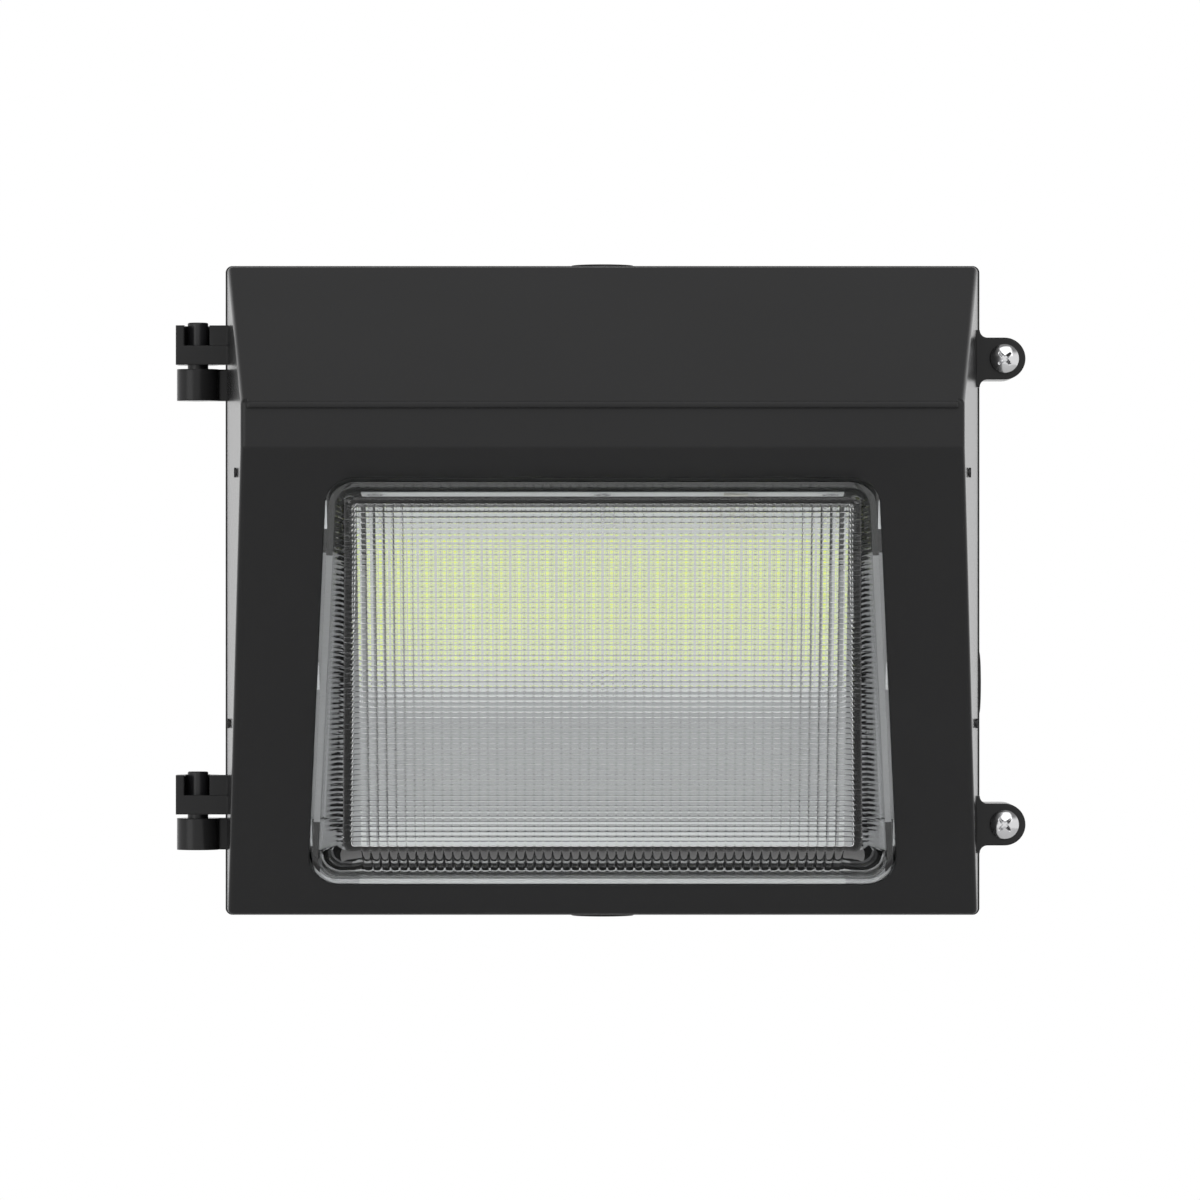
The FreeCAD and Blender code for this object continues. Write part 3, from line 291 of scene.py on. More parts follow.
def brushedAluminium():
    looks = {
        "dark": (0.42, 0.42, 0.43), "light": (0.56, 0.56, 0.57), "roughness": (0.30, 0.46),
        "length": 14.0, "fine": 2600.0, "relief": 0.12, "reliefDepth": 0.02, "metallic": 0.7,
    }
    material, shader = newMaterial("brushed_aluminium")
    links = material.node_tree.links
    texture = placeGroup(material, brushing, Length=looks["length"], Fine=looks["fine"])
    streaks = texture.outputs["Streaks"]
    links.new(tinted(material, streaks, looks["dark"], looks["light"]), shader.inputs["Base Color"])
    links.new(ranged(material, streaks, *looks["roughness"]), shader.inputs["Roughness"])
    links.new(bumped(material, streaks, looks["relief"], looks["reliefDepth"] * mm), shader.inputs["Normal"])
    shader.inputs["Metallic"].default_value = looks["metallic"]
    return material


def clearGlass():
    # clear polycarbonate, which lets the lamps reach what is behind it
    looks = {
        "colour": (0.97, 0.985, 0.985, 1), "ior": 1.50, "roughness": (0.0, 0.012),
        "fine": 1200.0, "broad": 24.0,
    }
    material, shader = newMaterial("clear_polycarbonate")
    tree = material.node_tree
    texture = placeGroup(material, grain, Fine=looks["fine"], Broad=looks["broad"])
    gloss = ranged(material, texture.outputs["Clouds"], *looks["roughness"])
    tree.links.new(gloss, shader.inputs["Roughness"])
    shader.inputs["Base Color"].default_value = looks["colour"]
    shader.inputs["IOR"].default_value = looks["ior"]
    shader.inputs["Transmission Weight"].default_value = 1.0
    shadow = addNode(tree, "ShaderNodeLightPath").outputs["Is Shadow Ray"]
    passing = addNode(tree, "ShaderNodeBsdfTransparent").outputs["BSDF"]
    mixed = mixedShaders(tree, shadow, shader.outputs["BSDF"], passing)
    tree.links.new(mixed, tree.nodes["Material Output"].inputs["Surface"])
    return material


aluminium = brushedAluminium()
glass = clearGlass()

finishOf = {
    "powder_coat": powderCoat,
    "dark_steel": blackOxide,
    "black_plastic": blackNylon,
    "silicone": silicone,
    "bare_aluminium": aluminium,
    "bright_steel": zincSteel,
    "green_steel": greenSteel,
    "pale_plastic": paleNylon,
    "clear_lens": glass,
    "white_board": solderMask,
    "phosphor": phosphor,
}


def dressNode(name, material):
    materials = frame["nodes"][name].data.materials
    materials.clear()
    materials.append(material)


for part in frame["record"]["subparts"]:
    dressNode(part["node"], finishOf[part["material_slot"]])
print("finishes on the frame:", len(finishOf))


# piece helpers

def openEdges(bm):
    return [edge for edge in bm.edges if edge.is_boundary]


def leakCount(bm):
    return len([edge for edge in bm.edges if not edge.is_manifold])


def vertsOf(geometry):
    return [item for item in geometry if isinstance(item, bmesh.types.BMVert)]


def finishPiece(bm, name, body, materials, sharpAngle=None):
    # a bmesh in metres becomes a piece that rides on a body
    mesh = bpy.data.meshes.new(name)
    bm.to_mesh(mesh)
    bm.free()
    piece = bpy.data.objects.new(name, mesh)
    bpy.context.collection.objects.link(piece)
    for material in materials:
        mesh.materials.append(material)
    if sharpAngle is not None:
        mesh.shade_smooth()
        mesh.set_sharp_from_angle(angle=math.radians(sharpAngle))
    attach(piece, body)
    return piece


# the door's sloping lower face, which the lens and the board are parallel to

face = {
    "noseStep": 1.5,  # the brow's lip stands this far out of the band
    "bandDrop": 81.5,  # from the door's top to the band's foot
    "footDepth": 66.9,  # from the wall to the lower face at the door's foot
    "topMargin": 16.2,
    "footMargin": 16.8,
}
doorLow, doorHigh = (Vector(corner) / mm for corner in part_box("front_door"))
bandDepth = -doorLow.y - face["noseStep"]
faceRun = doorHigh.z - face["bandDrop"] - doorLow.z
faceTilt = math.atan2(bandDepth - face["footDepth"], faceRun)
lensLength = faceRun / math.cos(faceTilt) - face["topMargin"] - face["footMargin"]
toMiddle = face["topMargin"] + lensLength / 2
faceDepth = bandDepth - toMiddle * math.sin(faceTilt)
faceHeight = doorHigh.z - face["bandDrop"] - toMiddle * math.cos(faceTilt)


def facePoint(across, along, out):
    # along is up the slope from the lens's middle, out is away from the face
    slopeSin, slopeCos = math.sin(faceTilt), math.cos(faceTilt)
    depth = -(faceDepth + along * slopeSin + out * slopeCos)
    height = faceHeight + along * slopeCos - out * slopeSin
    return Vector((across, depth, height)) * mm


def layOnFace(bm):
    for vert in bm.verts:
        vert.co = facePoint(*vert.co)


# reflector: the tray's sheet, with black painted shade above the chips where the brow shades it, and an
# aluminium apron with a white liner, from the tray's foot towards the lens's

reflector = {
    "paintedShadeFrom": 56.0,  # where the painted shade starts, up the slope from the lens's middle
    # colour of the painted shade, black
    "paintedShadeColour": (0.010, 0.010, 0.010, 1),
    "frontFacing": 0.5,  # how nearly a face looks out of the lens to carry the painted shade
    "apronTop": (-79.2, -17.4), "apronFoot": (-103.0, -9.8),  # along and out
    "apronWide": 246.0, "linerWide": 212.0, "sheet": 0.8, "liner": 0.3,
}


def trayWithPaintedShade():
    # aluminium with black painted shade across the tray above the chips, where the brow shades it
    material = aluminium.copy()
    material.name = "aluminium_with_painted_shade"
    tree = material.node_tree
    shader = tree.nodes["Principled BSDF"]
    place = addNode(tree, "ShaderNodeTexCoord")
    upSlope = (facePoint(0, 1, 0) - facePoint(0, 0, 0)) / mm
    outOfFace = (facePoint(0, 0, 1) - facePoint(0, 0, 0)) / mm
    paintedShadeFrom = facePoint(0, reflector["paintedShadeFrom"], 0).dot(upSlope)
    above = pastLimit(tree, place.outputs["Object"], upSlope, paintedShadeFrom)
    front = pastLimit(tree, place.outputs["Normal"], outOfFace, reflector["frontFacing"])
    # painted shade: black on the front faces above the chips
    shadeMask = addNode(tree, "ShaderNodeMath", operation="MULTIPLY")
    tree.links.new(above, shadeMask.inputs[0])
    tree.links.new(front, shadeMask.inputs[1])
    shadeBlend = addNode(tree, "ShaderNodeMix", data_type="RGBA")
    shadeBlend.inputs["B"].default_value = reflector["paintedShadeColour"]
    tree.links.new(shadeMask.outputs["Value"], shadeBlend.inputs["Factor"])
    tree.links.new(shader.inputs["Base Color"].links[0].from_socket, shadeBlend.inputs["A"])
    tree.links.new(colourOut(shadeBlend), shader.inputs["Base Color"])
    metal = ranged(material, shadeMask.outputs["Value"], shader.inputs["Metallic"].default_value, 0.0)
    tree.links.new(metal, shader.inputs["Metallic"])
    return material


def buildSheet(name, wide, thick, lift, material):
    # a flat sheet from the tray's foot to the lens's foot
    bm = bmesh.new()
    top, foot = (Vector((0, *reflector[end])) for end in ("apronTop", "apronFoot"))
    run = foot - top
    bmesh.ops.create_cube(bm, size=1)
    bmesh.ops.scale(bm, verts=bm.verts, vec=(wide, run.length, thick))
    bmesh.ops.translate(bm, verts=bm.verts, vec=(0, 0, lift))
    turn = Matrix.Rotation(math.atan2(-run.z, -run.y), 3, "X")
    bmesh.ops.rotate(bm, verts=bm.verts, cent=(0, 0, 0), matrix=turn)
    bmesh.ops.translate(bm, verts=bm.verts, vec=(top + foot) / 2)
    layOnFace(bm)
    bmesh.ops.recalc_face_normals(bm, faces=bm.faces)
    finishPiece(bm, name, "door", [material])


# the tray carries painted shade, black above the chips
dressNode("led_tray", trayWithPaintedShade())
buildSheet("reflector_apron", reflector["apronWide"], reflector["sheet"], 0, aluminium)
buildSheet("reflector_liner", reflector["linerWide"], reflector["liner"],
           (reflector["sheet"] + reflector["liner"]) / 2, solderMask)
print("reflector: 2 sheets")


# lens: a fluted bowl outside, ribbed inside, on a flat flange

lensShape = {
    # outline on the door's face, and the flange behind it
    "topHalf": 115.0, "footHalf": 127.0, "corner": 12.0,
    "flange": 7.0, "flangeFront": -5.0, "flangeBack": -9.0,
    # ledge at the foot of the walls, and how its edge is rounded as (width, drop)
    "ledgeWidth": 2.8, "ledgeHeight": 1.2, "ledgeRounding": ((0.5, 0.0), (0.1, 0.1), (0.0, 0.5)),
    # front panel: what it keeps from the outline's top and foot, its height at the top and its tilt
    "panelHalf": 107.5, "panelFlare": 3.0, "panelDrop": 2.0, "panelShort": 39.5,
    "panelRise": 12.0, "panelTurn": 9.2,
    # rounded edges between the panel and the walls, and the steps down them and down the walls
    "edges": {"side": 3.0, "top": 1.6, "foot": 4.6}, "edgeAim": 1.0,
    "curveSteps": 5, "wallShares": (0.3, 0.6, 0.93, 1.0),
    "innerEdges": {"side": 1.2, "top": 1.2, "foot": 1.2},
    "innerCurveSteps": 4, "innerWallShares": (0.25, 0.5, 0.75, 1.0), "innerAcross": 12,
    # from the outer skin to the inner, with more at the top wall's foot and less at the panel's
    "wall": 3.0, "thickerTop": 3.1, "footInset": 1.1,
    # upright flutes outside, with how much of their depth is left at each step down the foot wall
    "flutes": 53, "flutePitch": 3.9, "fluteSag": 0.95, "fluteSteps": 14,
    "fluteStart": 2.2, "fluteLead": 0.3, "fluteRows": 10,
    "fluteDips": (1, 0.95, 0.9, 0.8, 0.7, 0.6, 0.55, 0.5, 0.2),
    # level ribs inside, deeper on the side walls
    "ribPitch": 2.4, "ribSag": 0.34, "ribSteps": 10, "sideRib": 2.0, "ribReach": 5,
    "valley": 3.0, "reliefLean": 0.6, "sharpAngle": 28,
}
panelLength = lensLength - lensShape["panelDrop"] - lensShape["panelShort"]
panelTurn = math.radians(lensShape["panelTurn"])
panelDown = Vector((0, -math.cos(panelTurn), math.sin(panelTurn)))
panelOut = Vector((0, math.sin(panelTurn), math.cos(panelTurn)))
fluteHalf = lensShape["flutes"] * lensShape["flutePitch"] / 2
touching = 0.01  # nearer than this counts as on the panel's edge
keyDigits = 3  # decimals by which a point is found again by its place


def panelPoint(across, down, inset):
    top = Vector((across, lensLength / 2 - lensShape["panelDrop"], lensShape["panelRise"]))
    return top + panelDown * down - panelOut * inset


def scallop(place, pitch, sag):
    # the height of a row of ridges, 0 at a crest and -sag in a steep valley
    aside = place / pitch - math.floor(place / pitch) - 0.5
    return -sag * abs(2 * aside) ** lensShape["valley"]


def outlineCorner(side, end, inset):
    # centre and radius of a corner of the lens's outline, and the ways out of its side and its end
    shape = lensShape
    thicker = shape["thickerTop"] if end > 0 and inset > 0 else 0
    halfLength = lensLength / 2 - inset - thicker
    radius = shape["corner"] - inset
    flare = (shape["footHalf"] - shape["topHalf"]) / lensLength
    lean = math.atan(flare)
    up = end * (halfLength - radius)
    half = (shape["topHalf"] + shape["footHalf"]) / 2 - flare * up - inset / math.cos(lean)
    centre = Vector((side * (half - radius / math.cos(lean)), up, 0))
    sideNormal = Vector((side * math.cos(lean), math.sin(lean), 0))
    return centre, radius, sideNormal, Vector((0, end, 0))


# A profile runs from the panel over its rounded edge down a wall: the points where the rounding
# starts and where panel and wall would meet, the foot on the outline, and the way out of the wall.
# A station is a step down a profile, and a function gives its place.

def curveAt(share):
    # on the rounded edge, which ends heading for a point a little over the foot
    def place(middle, rim, foot, way):
        aim = foot + Vector((0, 0, lensShape["edgeAim"]))
        start = rim + (aim - rim).normalized() * (rim - middle).length
        return middle.lerp(rim, share).lerp(rim.lerp(start, share), share)
    return place


def wallAt(share, ledge, height):
    def place(middle, rim, foot, way):
        end = foot - way * ledge + Vector((0, 0, height))
        start = rim + (end - rim).normalized() * (rim - middle).length
        return start.lerp(end, share)
    return place


def footAt(ledge, height):
    def place(middle, rim, foot, way):
        return foot - way * ledge + Vector((0, 0, height))
    return place


def cornerProfile(side, end, turn, across, down, inset, edges):
    # turn is 0 at the side wall and 1 at the end wall
    middle = panelPoint(across, down, inset)
    swing = turn * math.pi / 2
    rim = middle + Vector((side, 0, 0)) * math.cos(swing) * edges["side"]
    rim -= panelDown * end * math.sin(swing) * edges["top" if end > 0 else "foot"]
    centre, radius, sideNormal, endNormal = outlineCorner(side, end, inset)
    way = sideNormal.slerp(endNormal, turn)
    return middle, rim, centre + way * radius, way


def sideProfile(side, share, across, down, inset, edges):
    # share is 0 at the top corner and 1 at the foot corner
    middle = panelPoint(across, down, inset)
    rim = panelPoint(across + side * edges["side"], down, inset)
    topCentre, radius, way, _ = outlineCorner(side, 1, inset)
    footCentre = outlineCorner(side, -1, inset)[0]
    return middle, rim, topCentre.lerp(footCentre, share) + way * radius, way


def endProfile(end, x, half, across, down, inset, edges):
    # straight down from the flutes, and spreading from them to the corners
    middle = panelPoint(across, down, inset)
    rim = middle - panelDown * end * edges["top" if end > 0 else "foot"]
    centre, radius, _, way = outlineCorner(1, end, inset)
    footAcross = x
    if abs(x) > fluteHalf:
        spread = (abs(x) - fluteHalf) / (half - fluteHalf)
        footAcross = math.copysign(fluteHalf + spread * (centre.x - fluteHalf), x)
    return middle, rim, Vector((footAcross, centre.y + end * radius, 0)), way


def placeKey(vert):
    return tuple(round(value, keyDigits) for value in vert.co)


def lensSkin(bm, inset, edges, stations, acrosses, downs, relief):
    # One skin of the lens from a grid, whose columns run from the left wall over the panel to the
    # right wall and whose rows run from the top wall to the foot wall. It gives the ways out of the
    # walls at their feet, by place.
    half, last = acrosses[-1], len(stations) - 1
    columns = [(-1, station, -half) for station in range(last, 0, -1)]
    columns += [(0, 0, across) for across in acrosses]
    columns += [(1, station, half) for station in range(1, last + 1)]
    rows = [(1, station, downs[0]) for station in range(last, 0, -1)]
    rows += [(0, 0, down) for down in downs]
    rows += [(-1, station, downs[-1]) for station in range(1, last + 1)]
    wide, long = len(columns) - 1, len(rows) - 1
    outward = {}
    for vert in bmesh.ops.create_grid(bm, x_segments=wide, y_segments=long, size=0.5)["verts"]:
        side, sideStation, x = columns[round((vert.co.x + 0.5) * wide)]
        end, endStation, down = rows[round((vert.co.y + 0.5) * long)]
        across = x
        if abs(x) > half - touching:
            across = x + math.copysign(lensShape["panelFlare"] * down / panelLength, x)
        if not side and not end:
            vert.co = panelPoint(across, down, inset) + panelOut * relief(x, down, 0)
            continue
        if side and end:
            turn = 0.5 * endStation / sideStation
            if endStation > sideStation:
                turn = 1 - 0.5 * sideStation / endStation
            profile = cornerProfile(side, end, turn, across, down, inset, edges)
        elif side:
            share = (down - downs[0]) / (downs[-1] - downs[0])
            profile = sideProfile(side, share, across, down, inset, edges)
        else:
            profile = endProfile(end, x, half, across, down, inset, edges)
        way = profile[-1]
        station = max(sideStation, endStation)
        spot = stations[station](*profile)
        if station < last:
            reliefWay = (way + Vector((0, 0, lensShape["reliefLean"]))).normalized()
            deep = (spot - panelPoint(0, 0, inset)).dot(panelDown) if side else down
            spot = spot + reliefWay * relief(x, deep, -station if side else station)
        vert.co = spot
        outward[placeKey(vert)] = way
    return outward


def flutedSkin(bm):
    shape, edges = lensShape, lensShape["edges"]
    stations = [curveAt(step / shape["curveSteps"]) for step in range(shape["curveSteps"] + 1)]
    stations += [wallAt(share, shape["ledgeWidth"], shape["ledgeHeight"]) for share in shape["wallShares"]]
    stations += [footAt(width, shape["ledgeHeight"] - drop) for width, drop in shape["ledgeRounding"]]
    stations += [footAt(0, shape["flangeFront"])]

    def flute(x, down, station):
        # none on the side walls, where the station is negative
        if abs(x) > fluteHalf or down < shape["fluteStart"] or not 0 <= station < len(shape["fluteDips"]):
            return 0
        return scallop(x + fluteHalf, shape["flutePitch"], shape["fluteSag"]) * shape["fluteDips"][station]

    half = shape["panelHalf"] - edges["side"]
    pitch, steps = shape["flutePitch"], shape["fluteSteps"]
    acrosses = [-fluteHalf + step * pitch / steps for step in range(shape["flutes"] * steps + 1)]
    start, rows = shape["fluteStart"], shape["fluteRows"]
    flutedRun = panelLength - edges["foot"] - start
    downs = [edges["top"], start - shape["fluteLead"], start]
    downs += [start + flutedRun * step / rows for step in range(1, rows + 1)]
    return lensSkin(bm, 0, edges, stations, [-half, *acrosses, half], downs, flute)


def addFlange(bm, outward):
    front = bmesh.ops.extrude_edge_only(bm, edges=openEdges(bm))["geom"]
    for vert in vertsOf(front):
        vert.co += outward[placeKey(vert)] * lensShape["flange"]
    outer = [item for item in front if isinstance(item, bmesh.types.BMEdge) and item.is_boundary]
    back = bmesh.ops.extrude_edge_only(bm, edges=outer)["geom"]
    thickness = lensShape["flangeBack"] - lensShape["flangeFront"]
    bmesh.ops.translate(bm, verts=vertsOf(back), vec=(0, 0, thickness))


def ribbedSkin(bm):
    shape, edges, wall = lensShape, lensShape["innerEdges"], lensShape["wall"]
    curveSteps = shape["innerCurveSteps"]
    stations = [curveAt(step / curveSteps) for step in range(curveSteps + 1)]
    stations += [wallAt(share, 0, shape["flangeBack"]) for share in shape["innerWallShares"]]
    pitch, steps, parts = shape["ribPitch"], shape["ribSteps"], shape["innerAcross"]
    first = wall + edges["top"]
    last = panelLength - shape["footInset"] - edges["foot"]
    ribs = int((last - first) / pitch)

    def rib(x, down, station):
        # on the panel and the upper part of the side walls, where the station is negative
        if not -shape["ribReach"] <= station <= 0 or down <= first or down >= first + ribs * pitch:
            return 0
        sag = shape["ribSag"] * (shape["sideRib"] if station < 0 else 1)
        return -scallop(down - first, pitch, sag)

    half = shape["panelHalf"] - wall - edges["side"]
    acrosses = [half * (2 * step / parts - 1) for step in range(parts + 1)]
    downs = [first + step * pitch / steps for step in range(ribs * steps + 1)]
    lensSkin(bm, wall, edges, stations, acrosses, [*downs, last], rib)


def buildLens():
    bm = bmesh.new()
    addFlange(bm, flutedSkin(bm))
    ribbedSkin(bm)
    bmesh.ops.triangle_fill(bm, use_beauty=True, use_dissolve=False, edges=openEdges(bm))
    leaks = leakCount(bm)
    layOnFace(bm)
    bmesh.ops.recalc_face_normals(bm, faces=bm.faces)
    if bm.calc_volume(signed=True) < 0:
        bmesh.ops.reverse_faces(bm, faces=bm.faces)
    print("lens:", len(bm.faces), "faces,", leaks, "open edges")
    lens = finishPiece(bm, "ribbed_lens", "door", [glass], lensShape["sharpAngle"])
    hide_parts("lens")


buildLens()


# LED chips: a white package with a sunk phosphor face

chip = {
    "columns": 20, "rows": 12, "pitch": 10.0, "rowPitch": 5.3, "drop": 38.5, "seat": -16.4,
    "width": 5.7, "height": 3.0, "tall": 0.8, "corner": 0.35, "border": 0.3, "slope": 0.075, "sink": 0.12,
    "topShare": 0.9,  # a face whose middle is over this share of the height is the top
}


def buildChips():
    bm = bmesh.new()
    for column in range(chip["columns"]):
        for line in range(chip["rows"]):
            cube = bmesh.ops.create_cube(bm, size=1)["verts"]
            bmesh.ops.scale(bm, verts=cube, vec=(chip["width"], chip["height"], chip["tall"]))
            across = (column - (chip["columns"] - 1) / 2) * chip["pitch"]
            along = lensLength / 2 - chip["drop"] - line * chip["rowPitch"]
            bmesh.ops.translate(bm, verts=cube, vec=(across, along, chip["seat"] + chip["tall"] / 2))
    halfUp = chip["tall"] / 2
    upright = [edge for edge in bm.edges if abs(edge.verts[0].co.z - edge.verts[1].co.z) > halfUp]
    bmesh.ops.bevel(bm, geom=upright, offset=chip["corner"], segments=2, profile=0.5,
                    affect="EDGES", material=-1)
    nearTop = chip["seat"] + chip["tall"] * chip["topShare"]
    tops = [side for side in bm.faces if side.calc_center_median().z > nearTop]
    bmesh.ops.inset_individual(bm, faces=tops, thickness=chip["border"], depth=0)
    bmesh.ops.inset_individual(bm, faces=tops, thickness=chip["slope"], depth=-chip["sink"])
    for top in tops:
        top.material_index = 1
    layOnFace(bm)
    chips = finishPiece(bm, "led_array", "door", [chipWhite, phosphor])
    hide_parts("led_chips")
    print("chips:", chip["columns"] * chip["rows"])


buildChips()


# closing screws: a domed head with a cross recess, a plain waist and a threaded end

screwShape = {
    "headRadius": 6.5, "headTall": 3.6, "rim": 0.5, "headSteps": 84, "domePower": 0.62,
    "seatGap": 0.03,  # keeps the head off the door's lug
    "recessHalf": 3.7, "recessWide": 0.95, "recessNarrow": 0.55, "recessDeep": 2.2, "recessWall": 0.35,
    "recessEnd": 1.6,  # how steeply the cross rises at the ends of its arms
    "turn": 43.0,
    "coreRadius": 2.45, "coreSides": 48, "length": 22.0, "tip": 0.8,
    "sunk": 0.05,  # the core starts this far inside the head
    "threadRadius": 2.95, "threadRoot": 2.25, "threadHalf": 0.45,
    "pitch": 1.0, "threadTurns": 7, "threadSteps": 24, "sharpAngle": 32,
}


def recessDepth(x, z):
    # depth of the cross below the dome, deepest in the middle
    shape = screwShape
    turn = math.radians(shape["turn"])
    first = x * math.cos(turn) + z * math.sin(turn)
    second = z * math.cos(turn) - x * math.sin(turn)
    deepest = 0.0
    for along, aside in ((abs(first), abs(second)), (abs(second), abs(first))):
        share = along / shape["recessHalf"]
        if share >= 1:
            continue
        half = shape["recessWide"] + (shape["recessNarrow"] - shape["recessWide"]) * share
        wall = min(max((half - aside) / shape["recessWall"], 0), 1)
        rise = min(1, shape["recessEnd"] * (1 - share))
        deepest = max(deepest, wall * shape["recessDeep"] * rise)
    return deepest


def addHead(bm):
    # a square grid drawn in to a disc and raised to a dome, with a flat underside at y 0
    shape = screwShape
    steps, radius = shape["headSteps"], shape["headRadius"]
    crown = shape["headTall"] - shape["seatGap"] - shape["rim"]
    for vert in bmesh.ops.create_grid(bm, x_segments=steps, y_segments=steps, size=1)["verts"]:
        u, v = vert.co.x, vert.co.y
        x = u * math.sqrt(1 - v * v / 2) * radius
        z = v * math.sqrt(1 - u * u / 2) * radius
        reach = min((x * x + z * z) / radius ** 2, 1)
        dome = shape["rim"] + crown * (1 - reach) ** shape["domePower"]
        vert.co = Vector((x, recessDepth(x, z) - dome, z))
    skirt = bmesh.ops.extrude_edge_only(bm, edges=openEdges(bm))["geom"]
    for vert in vertsOf(skirt):
        vert.co.y = 0
    bmesh.ops.triangle_fill(bm, use_beauty=True, edges=openEdges(bm))


def addCore(bm):
    shape = screwShape
    radius, length, sunk = shape["coreRadius"], shape["length"], shape["sunk"]
    core = bmesh.ops.create_cone(bm, cap_ends=True, segments=shape["coreSides"], depth=length,
                                 radius1=radius, radius2=radius)["verts"]
    bmesh.ops.rotate(bm, verts=core, cent=(0, 0, 0), matrix=Matrix.Rotation(math.radians(90), 3, "X"))
    bmesh.ops.translate(bm, verts=core, vec=(0, length / 2 - sunk, 0))
    tip = [edge for edge in bm.edges if all(vert.co.y > length - 2 * sunk for vert in edge.verts)]
    bmesh.ops.bevel(bm, geom=tip, offset=shape["tip"], segments=2, profile=0.5,
                    affect="EDGES", material=-1)


def addThread(bm):
    # a triangle wound round the core
    shape = screwShape
    turns, pitch, root = shape["threadTurns"], shape["pitch"], shape["threadRoot"]
    start = shape["length"] - shape["tip"] - (turns + 0.5) * pitch
    corners = ((shape["threadRadius"], 0), (root, shape["threadHalf"]), (root, -shape["threadHalf"]))
    ridge = bmesh.ops.create_circle(bm, segments=3, radius=pitch / 2)["verts"]
    for vert, (out, back) in zip(ridge, corners):
        vert.co = Vector((out, start + back, 0))
    loop = [edge for edge in bm.edges if all(vert in ridge for vert in edge.verts)]
    bmesh.ops.spin(bm, geom=ridge + loop, cent=(0, 0, 0), axis=(0, 1, 0), angle=2 * math.pi * turns,
                   dvec=(0, pitch / shape["threadSteps"], 0), steps=turns * shape["threadSteps"])
    bmesh.ops.triangle_fill(bm, use_beauty=True, edges=openEdges(bm))


def buildScrew(name):
    low, high = (Vector(corner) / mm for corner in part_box(f"captive_screw_{name}"))
    middle = (low + high) / 2
    seat = low.y + screwShape["headTall"] - screwShape["seatGap"]
    bm = bmesh.new()
    addHead(bm)
    addCore(bm)
    addThread(bm)
    for vert in bm.verts:
        vert.co = Vector((vert.co.x + middle.x, vert.co.y + seat, vert.co.z + middle.z)) * mm
    bmesh.ops.recalc_face_normals(bm, faces=bm.faces)
    print("screw:", name, len(bm.faces), "faces,", leakCount(bm), "open edges")
    screw = finishPiece(bm, f"closing_screw_{name}", f"{name}_screw", [zincSteel],
                        screwShape["sharpAngle"])
    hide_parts(f"captive_screw_{name}")


for screwName in ("upper", "lower"):
    buildScrew(screwName)


# floor, surroundings and lamps

studio = {
    "floorHeight": -0.42, "floorRadius": 1.2, "floorSides": 96,
    "floorColour": (0.88, 0.88, 0.88, 1), "floorRoughness": 0.9, "floorOwnLight": 0.6,
    "white": 1.0, "ambient": 0.50, "ceiling": 0.28,
    "horizonLow": 0.30, "horizonHigh": 0.62,  # heights between which the reflected white fades
}
lamps = {
    "key": {"place": (0.5, -1.6, 1.5), "size": 2.2, "power": 21.0},
    "fill": {"place": (-1.5, -1.5, 0.1), "size": 1.2, "power": 6.0},
}
lampTarget = Vector((0, -0.1, 0))


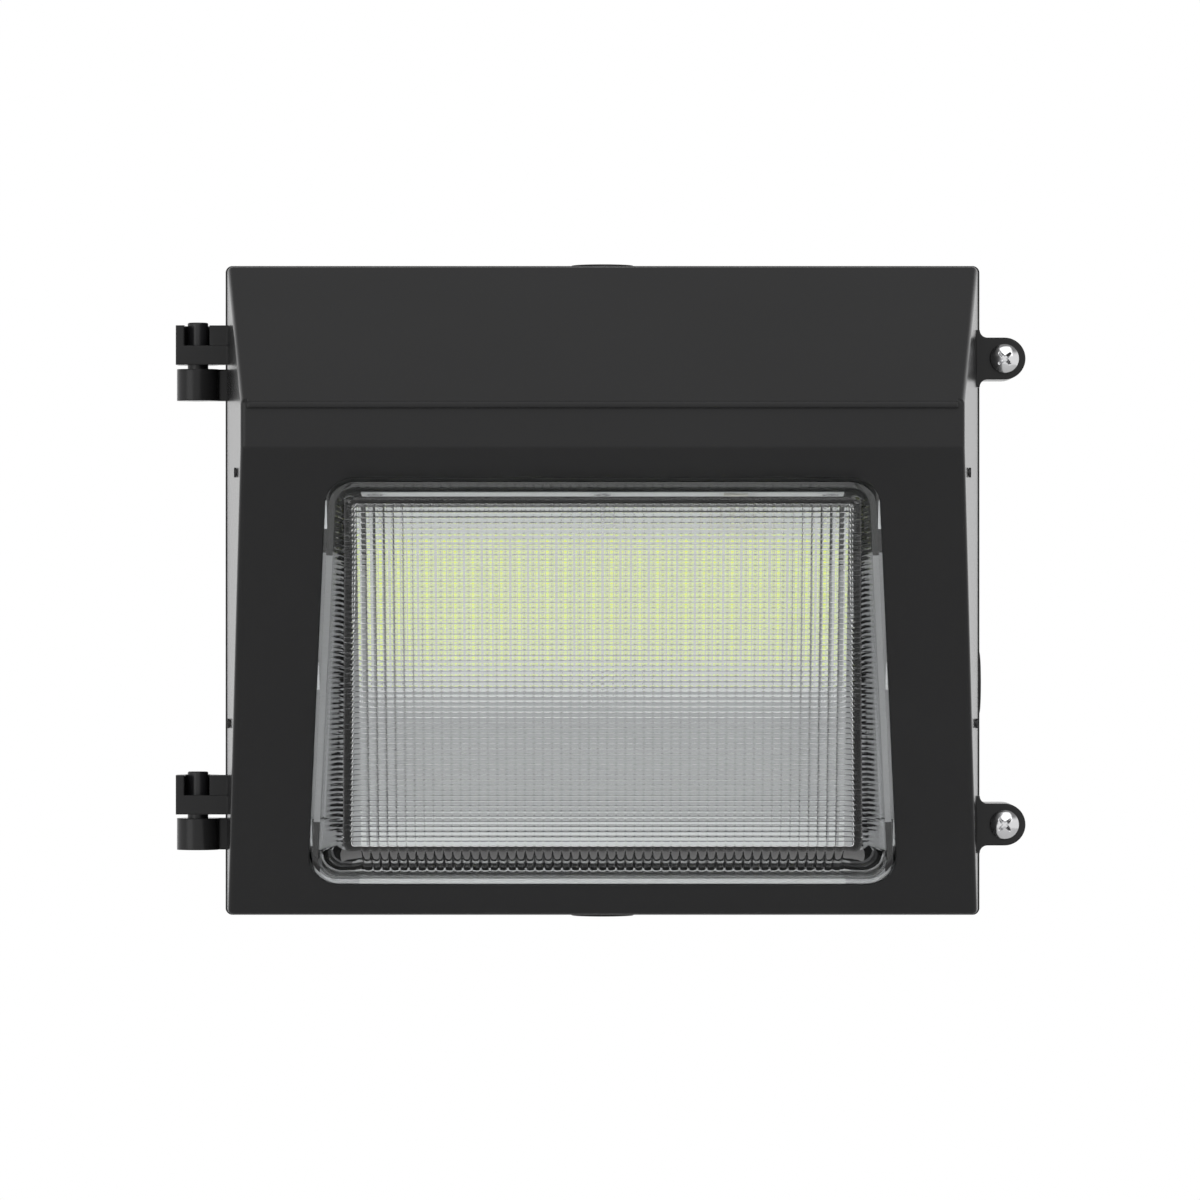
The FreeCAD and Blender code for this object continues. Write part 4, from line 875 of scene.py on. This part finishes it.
def addFloor():
    bm = bmesh.new()
    bmesh.ops.create_circle(bm, cap_ends=True, segments=studio["floorSides"], radius=studio["floorRadius"])
    bmesh.ops.translate(bm, verts=bm.verts, vec=(0, 0, studio["floorHeight"]))
    mesh = bpy.data.meshes.new("floor")
    bm.to_mesh(mesh)
    bm.free()
    floor = bpy.data.objects.new("floor", mesh)
    bpy.context.collection.objects.link(floor)
    material, shader = newMaterial("pale_floor")
    tree = material.node_tree
    shader.inputs["Base Color"].default_value = studio["floorColour"]
    shader.inputs["Roughness"].default_value = studio["floorRoughness"]
    shader.inputs["Specular IOR Level"].default_value = 0.0
    glow = addNode(tree, "ShaderNodeEmission")
    glow.inputs["Strength"].default_value = studio["white"]
    share = addNode(tree, "ShaderNodeMath", operation="MULTIPLY")
    share.inputs[1].default_value = studio["floorOwnLight"]
    tree.links.new(seenPlainly(tree, addNode(tree, "ShaderNodeLightPath")), share.inputs[0])
    mixed = mixedShaders(tree, share.outputs["Value"], shader.outputs["BSDF"], glow.outputs["Emission"])
    tree.links.new(mixed, tree.nodes["Material Output"].inputs["Surface"])
    mesh.materials.append(material)


def addSurroundings():
    # white to the camera and through glass, a white horizon under a dim ceiling in reflections
    world = bpy.data.worlds.new("studio")
    world.use_nodes = True
    bpy.context.scene.world = world
    tree = world.node_tree
    plain = tree.nodes["Background"]
    white = addNode(tree, "ShaderNodeBackground")
    mirrored = addNode(tree, "ShaderNodeBackground")
    for background in (plain, white, mirrored):
        background.inputs["Color"].default_value = (1, 1, 1, 1)
    plain.inputs["Strength"].default_value = studio["ambient"]
    white.inputs["Strength"].default_value = studio["white"]
    horizon = addNode(tree, "ShaderNodeMapRange", interpolation_type="SMOOTHSTEP")
    horizon.inputs["From Min"].default_value = studio["horizonLow"]
    horizon.inputs["From Max"].default_value = studio["horizonHigh"]
    horizon.inputs["To Min"].default_value = studio["white"]
    horizon.inputs["To Max"].default_value = studio["ceiling"]
    place = addNode(tree, "ShaderNodeTexCoord")
    parts = addNode(tree, "ShaderNodeSeparateXYZ")
    tree.links.new(place.outputs["Generated"], parts.inputs["Vector"])
    tree.links.new(parts.outputs["Z"], horizon.inputs["Value"])
    tree.links.new(horizon.outputs["Result"], mirrored.inputs["Strength"])
    path = addNode(tree, "ShaderNodeLightPath")
    lit = mixedShaders(tree, path.outputs["Is Glossy Ray"], plain.outputs["Background"],
                       mirrored.outputs["Background"])
    shown = mixedShaders(tree, seenPlainly(tree, path), lit, white.outputs["Background"])
    tree.links.new(shown, tree.nodes["World Output"].inputs["Surface"])


def addLamps():
    for name, lamp in lamps.items():
        data = bpy.data.lights.new(name, "AREA")
        data.size = lamp["size"]
        data.energy = lamp["power"]
        light = bpy.data.objects.new(name, data)
        bpy.context.collection.objects.link(light)
        light.location = lamp["place"]
        light.rotation_euler = (lampTarget - light.location).to_track_quat("-Z", "Y").to_euler()


addFloor()
addSurroundings()
addLamps()
print("studio set")
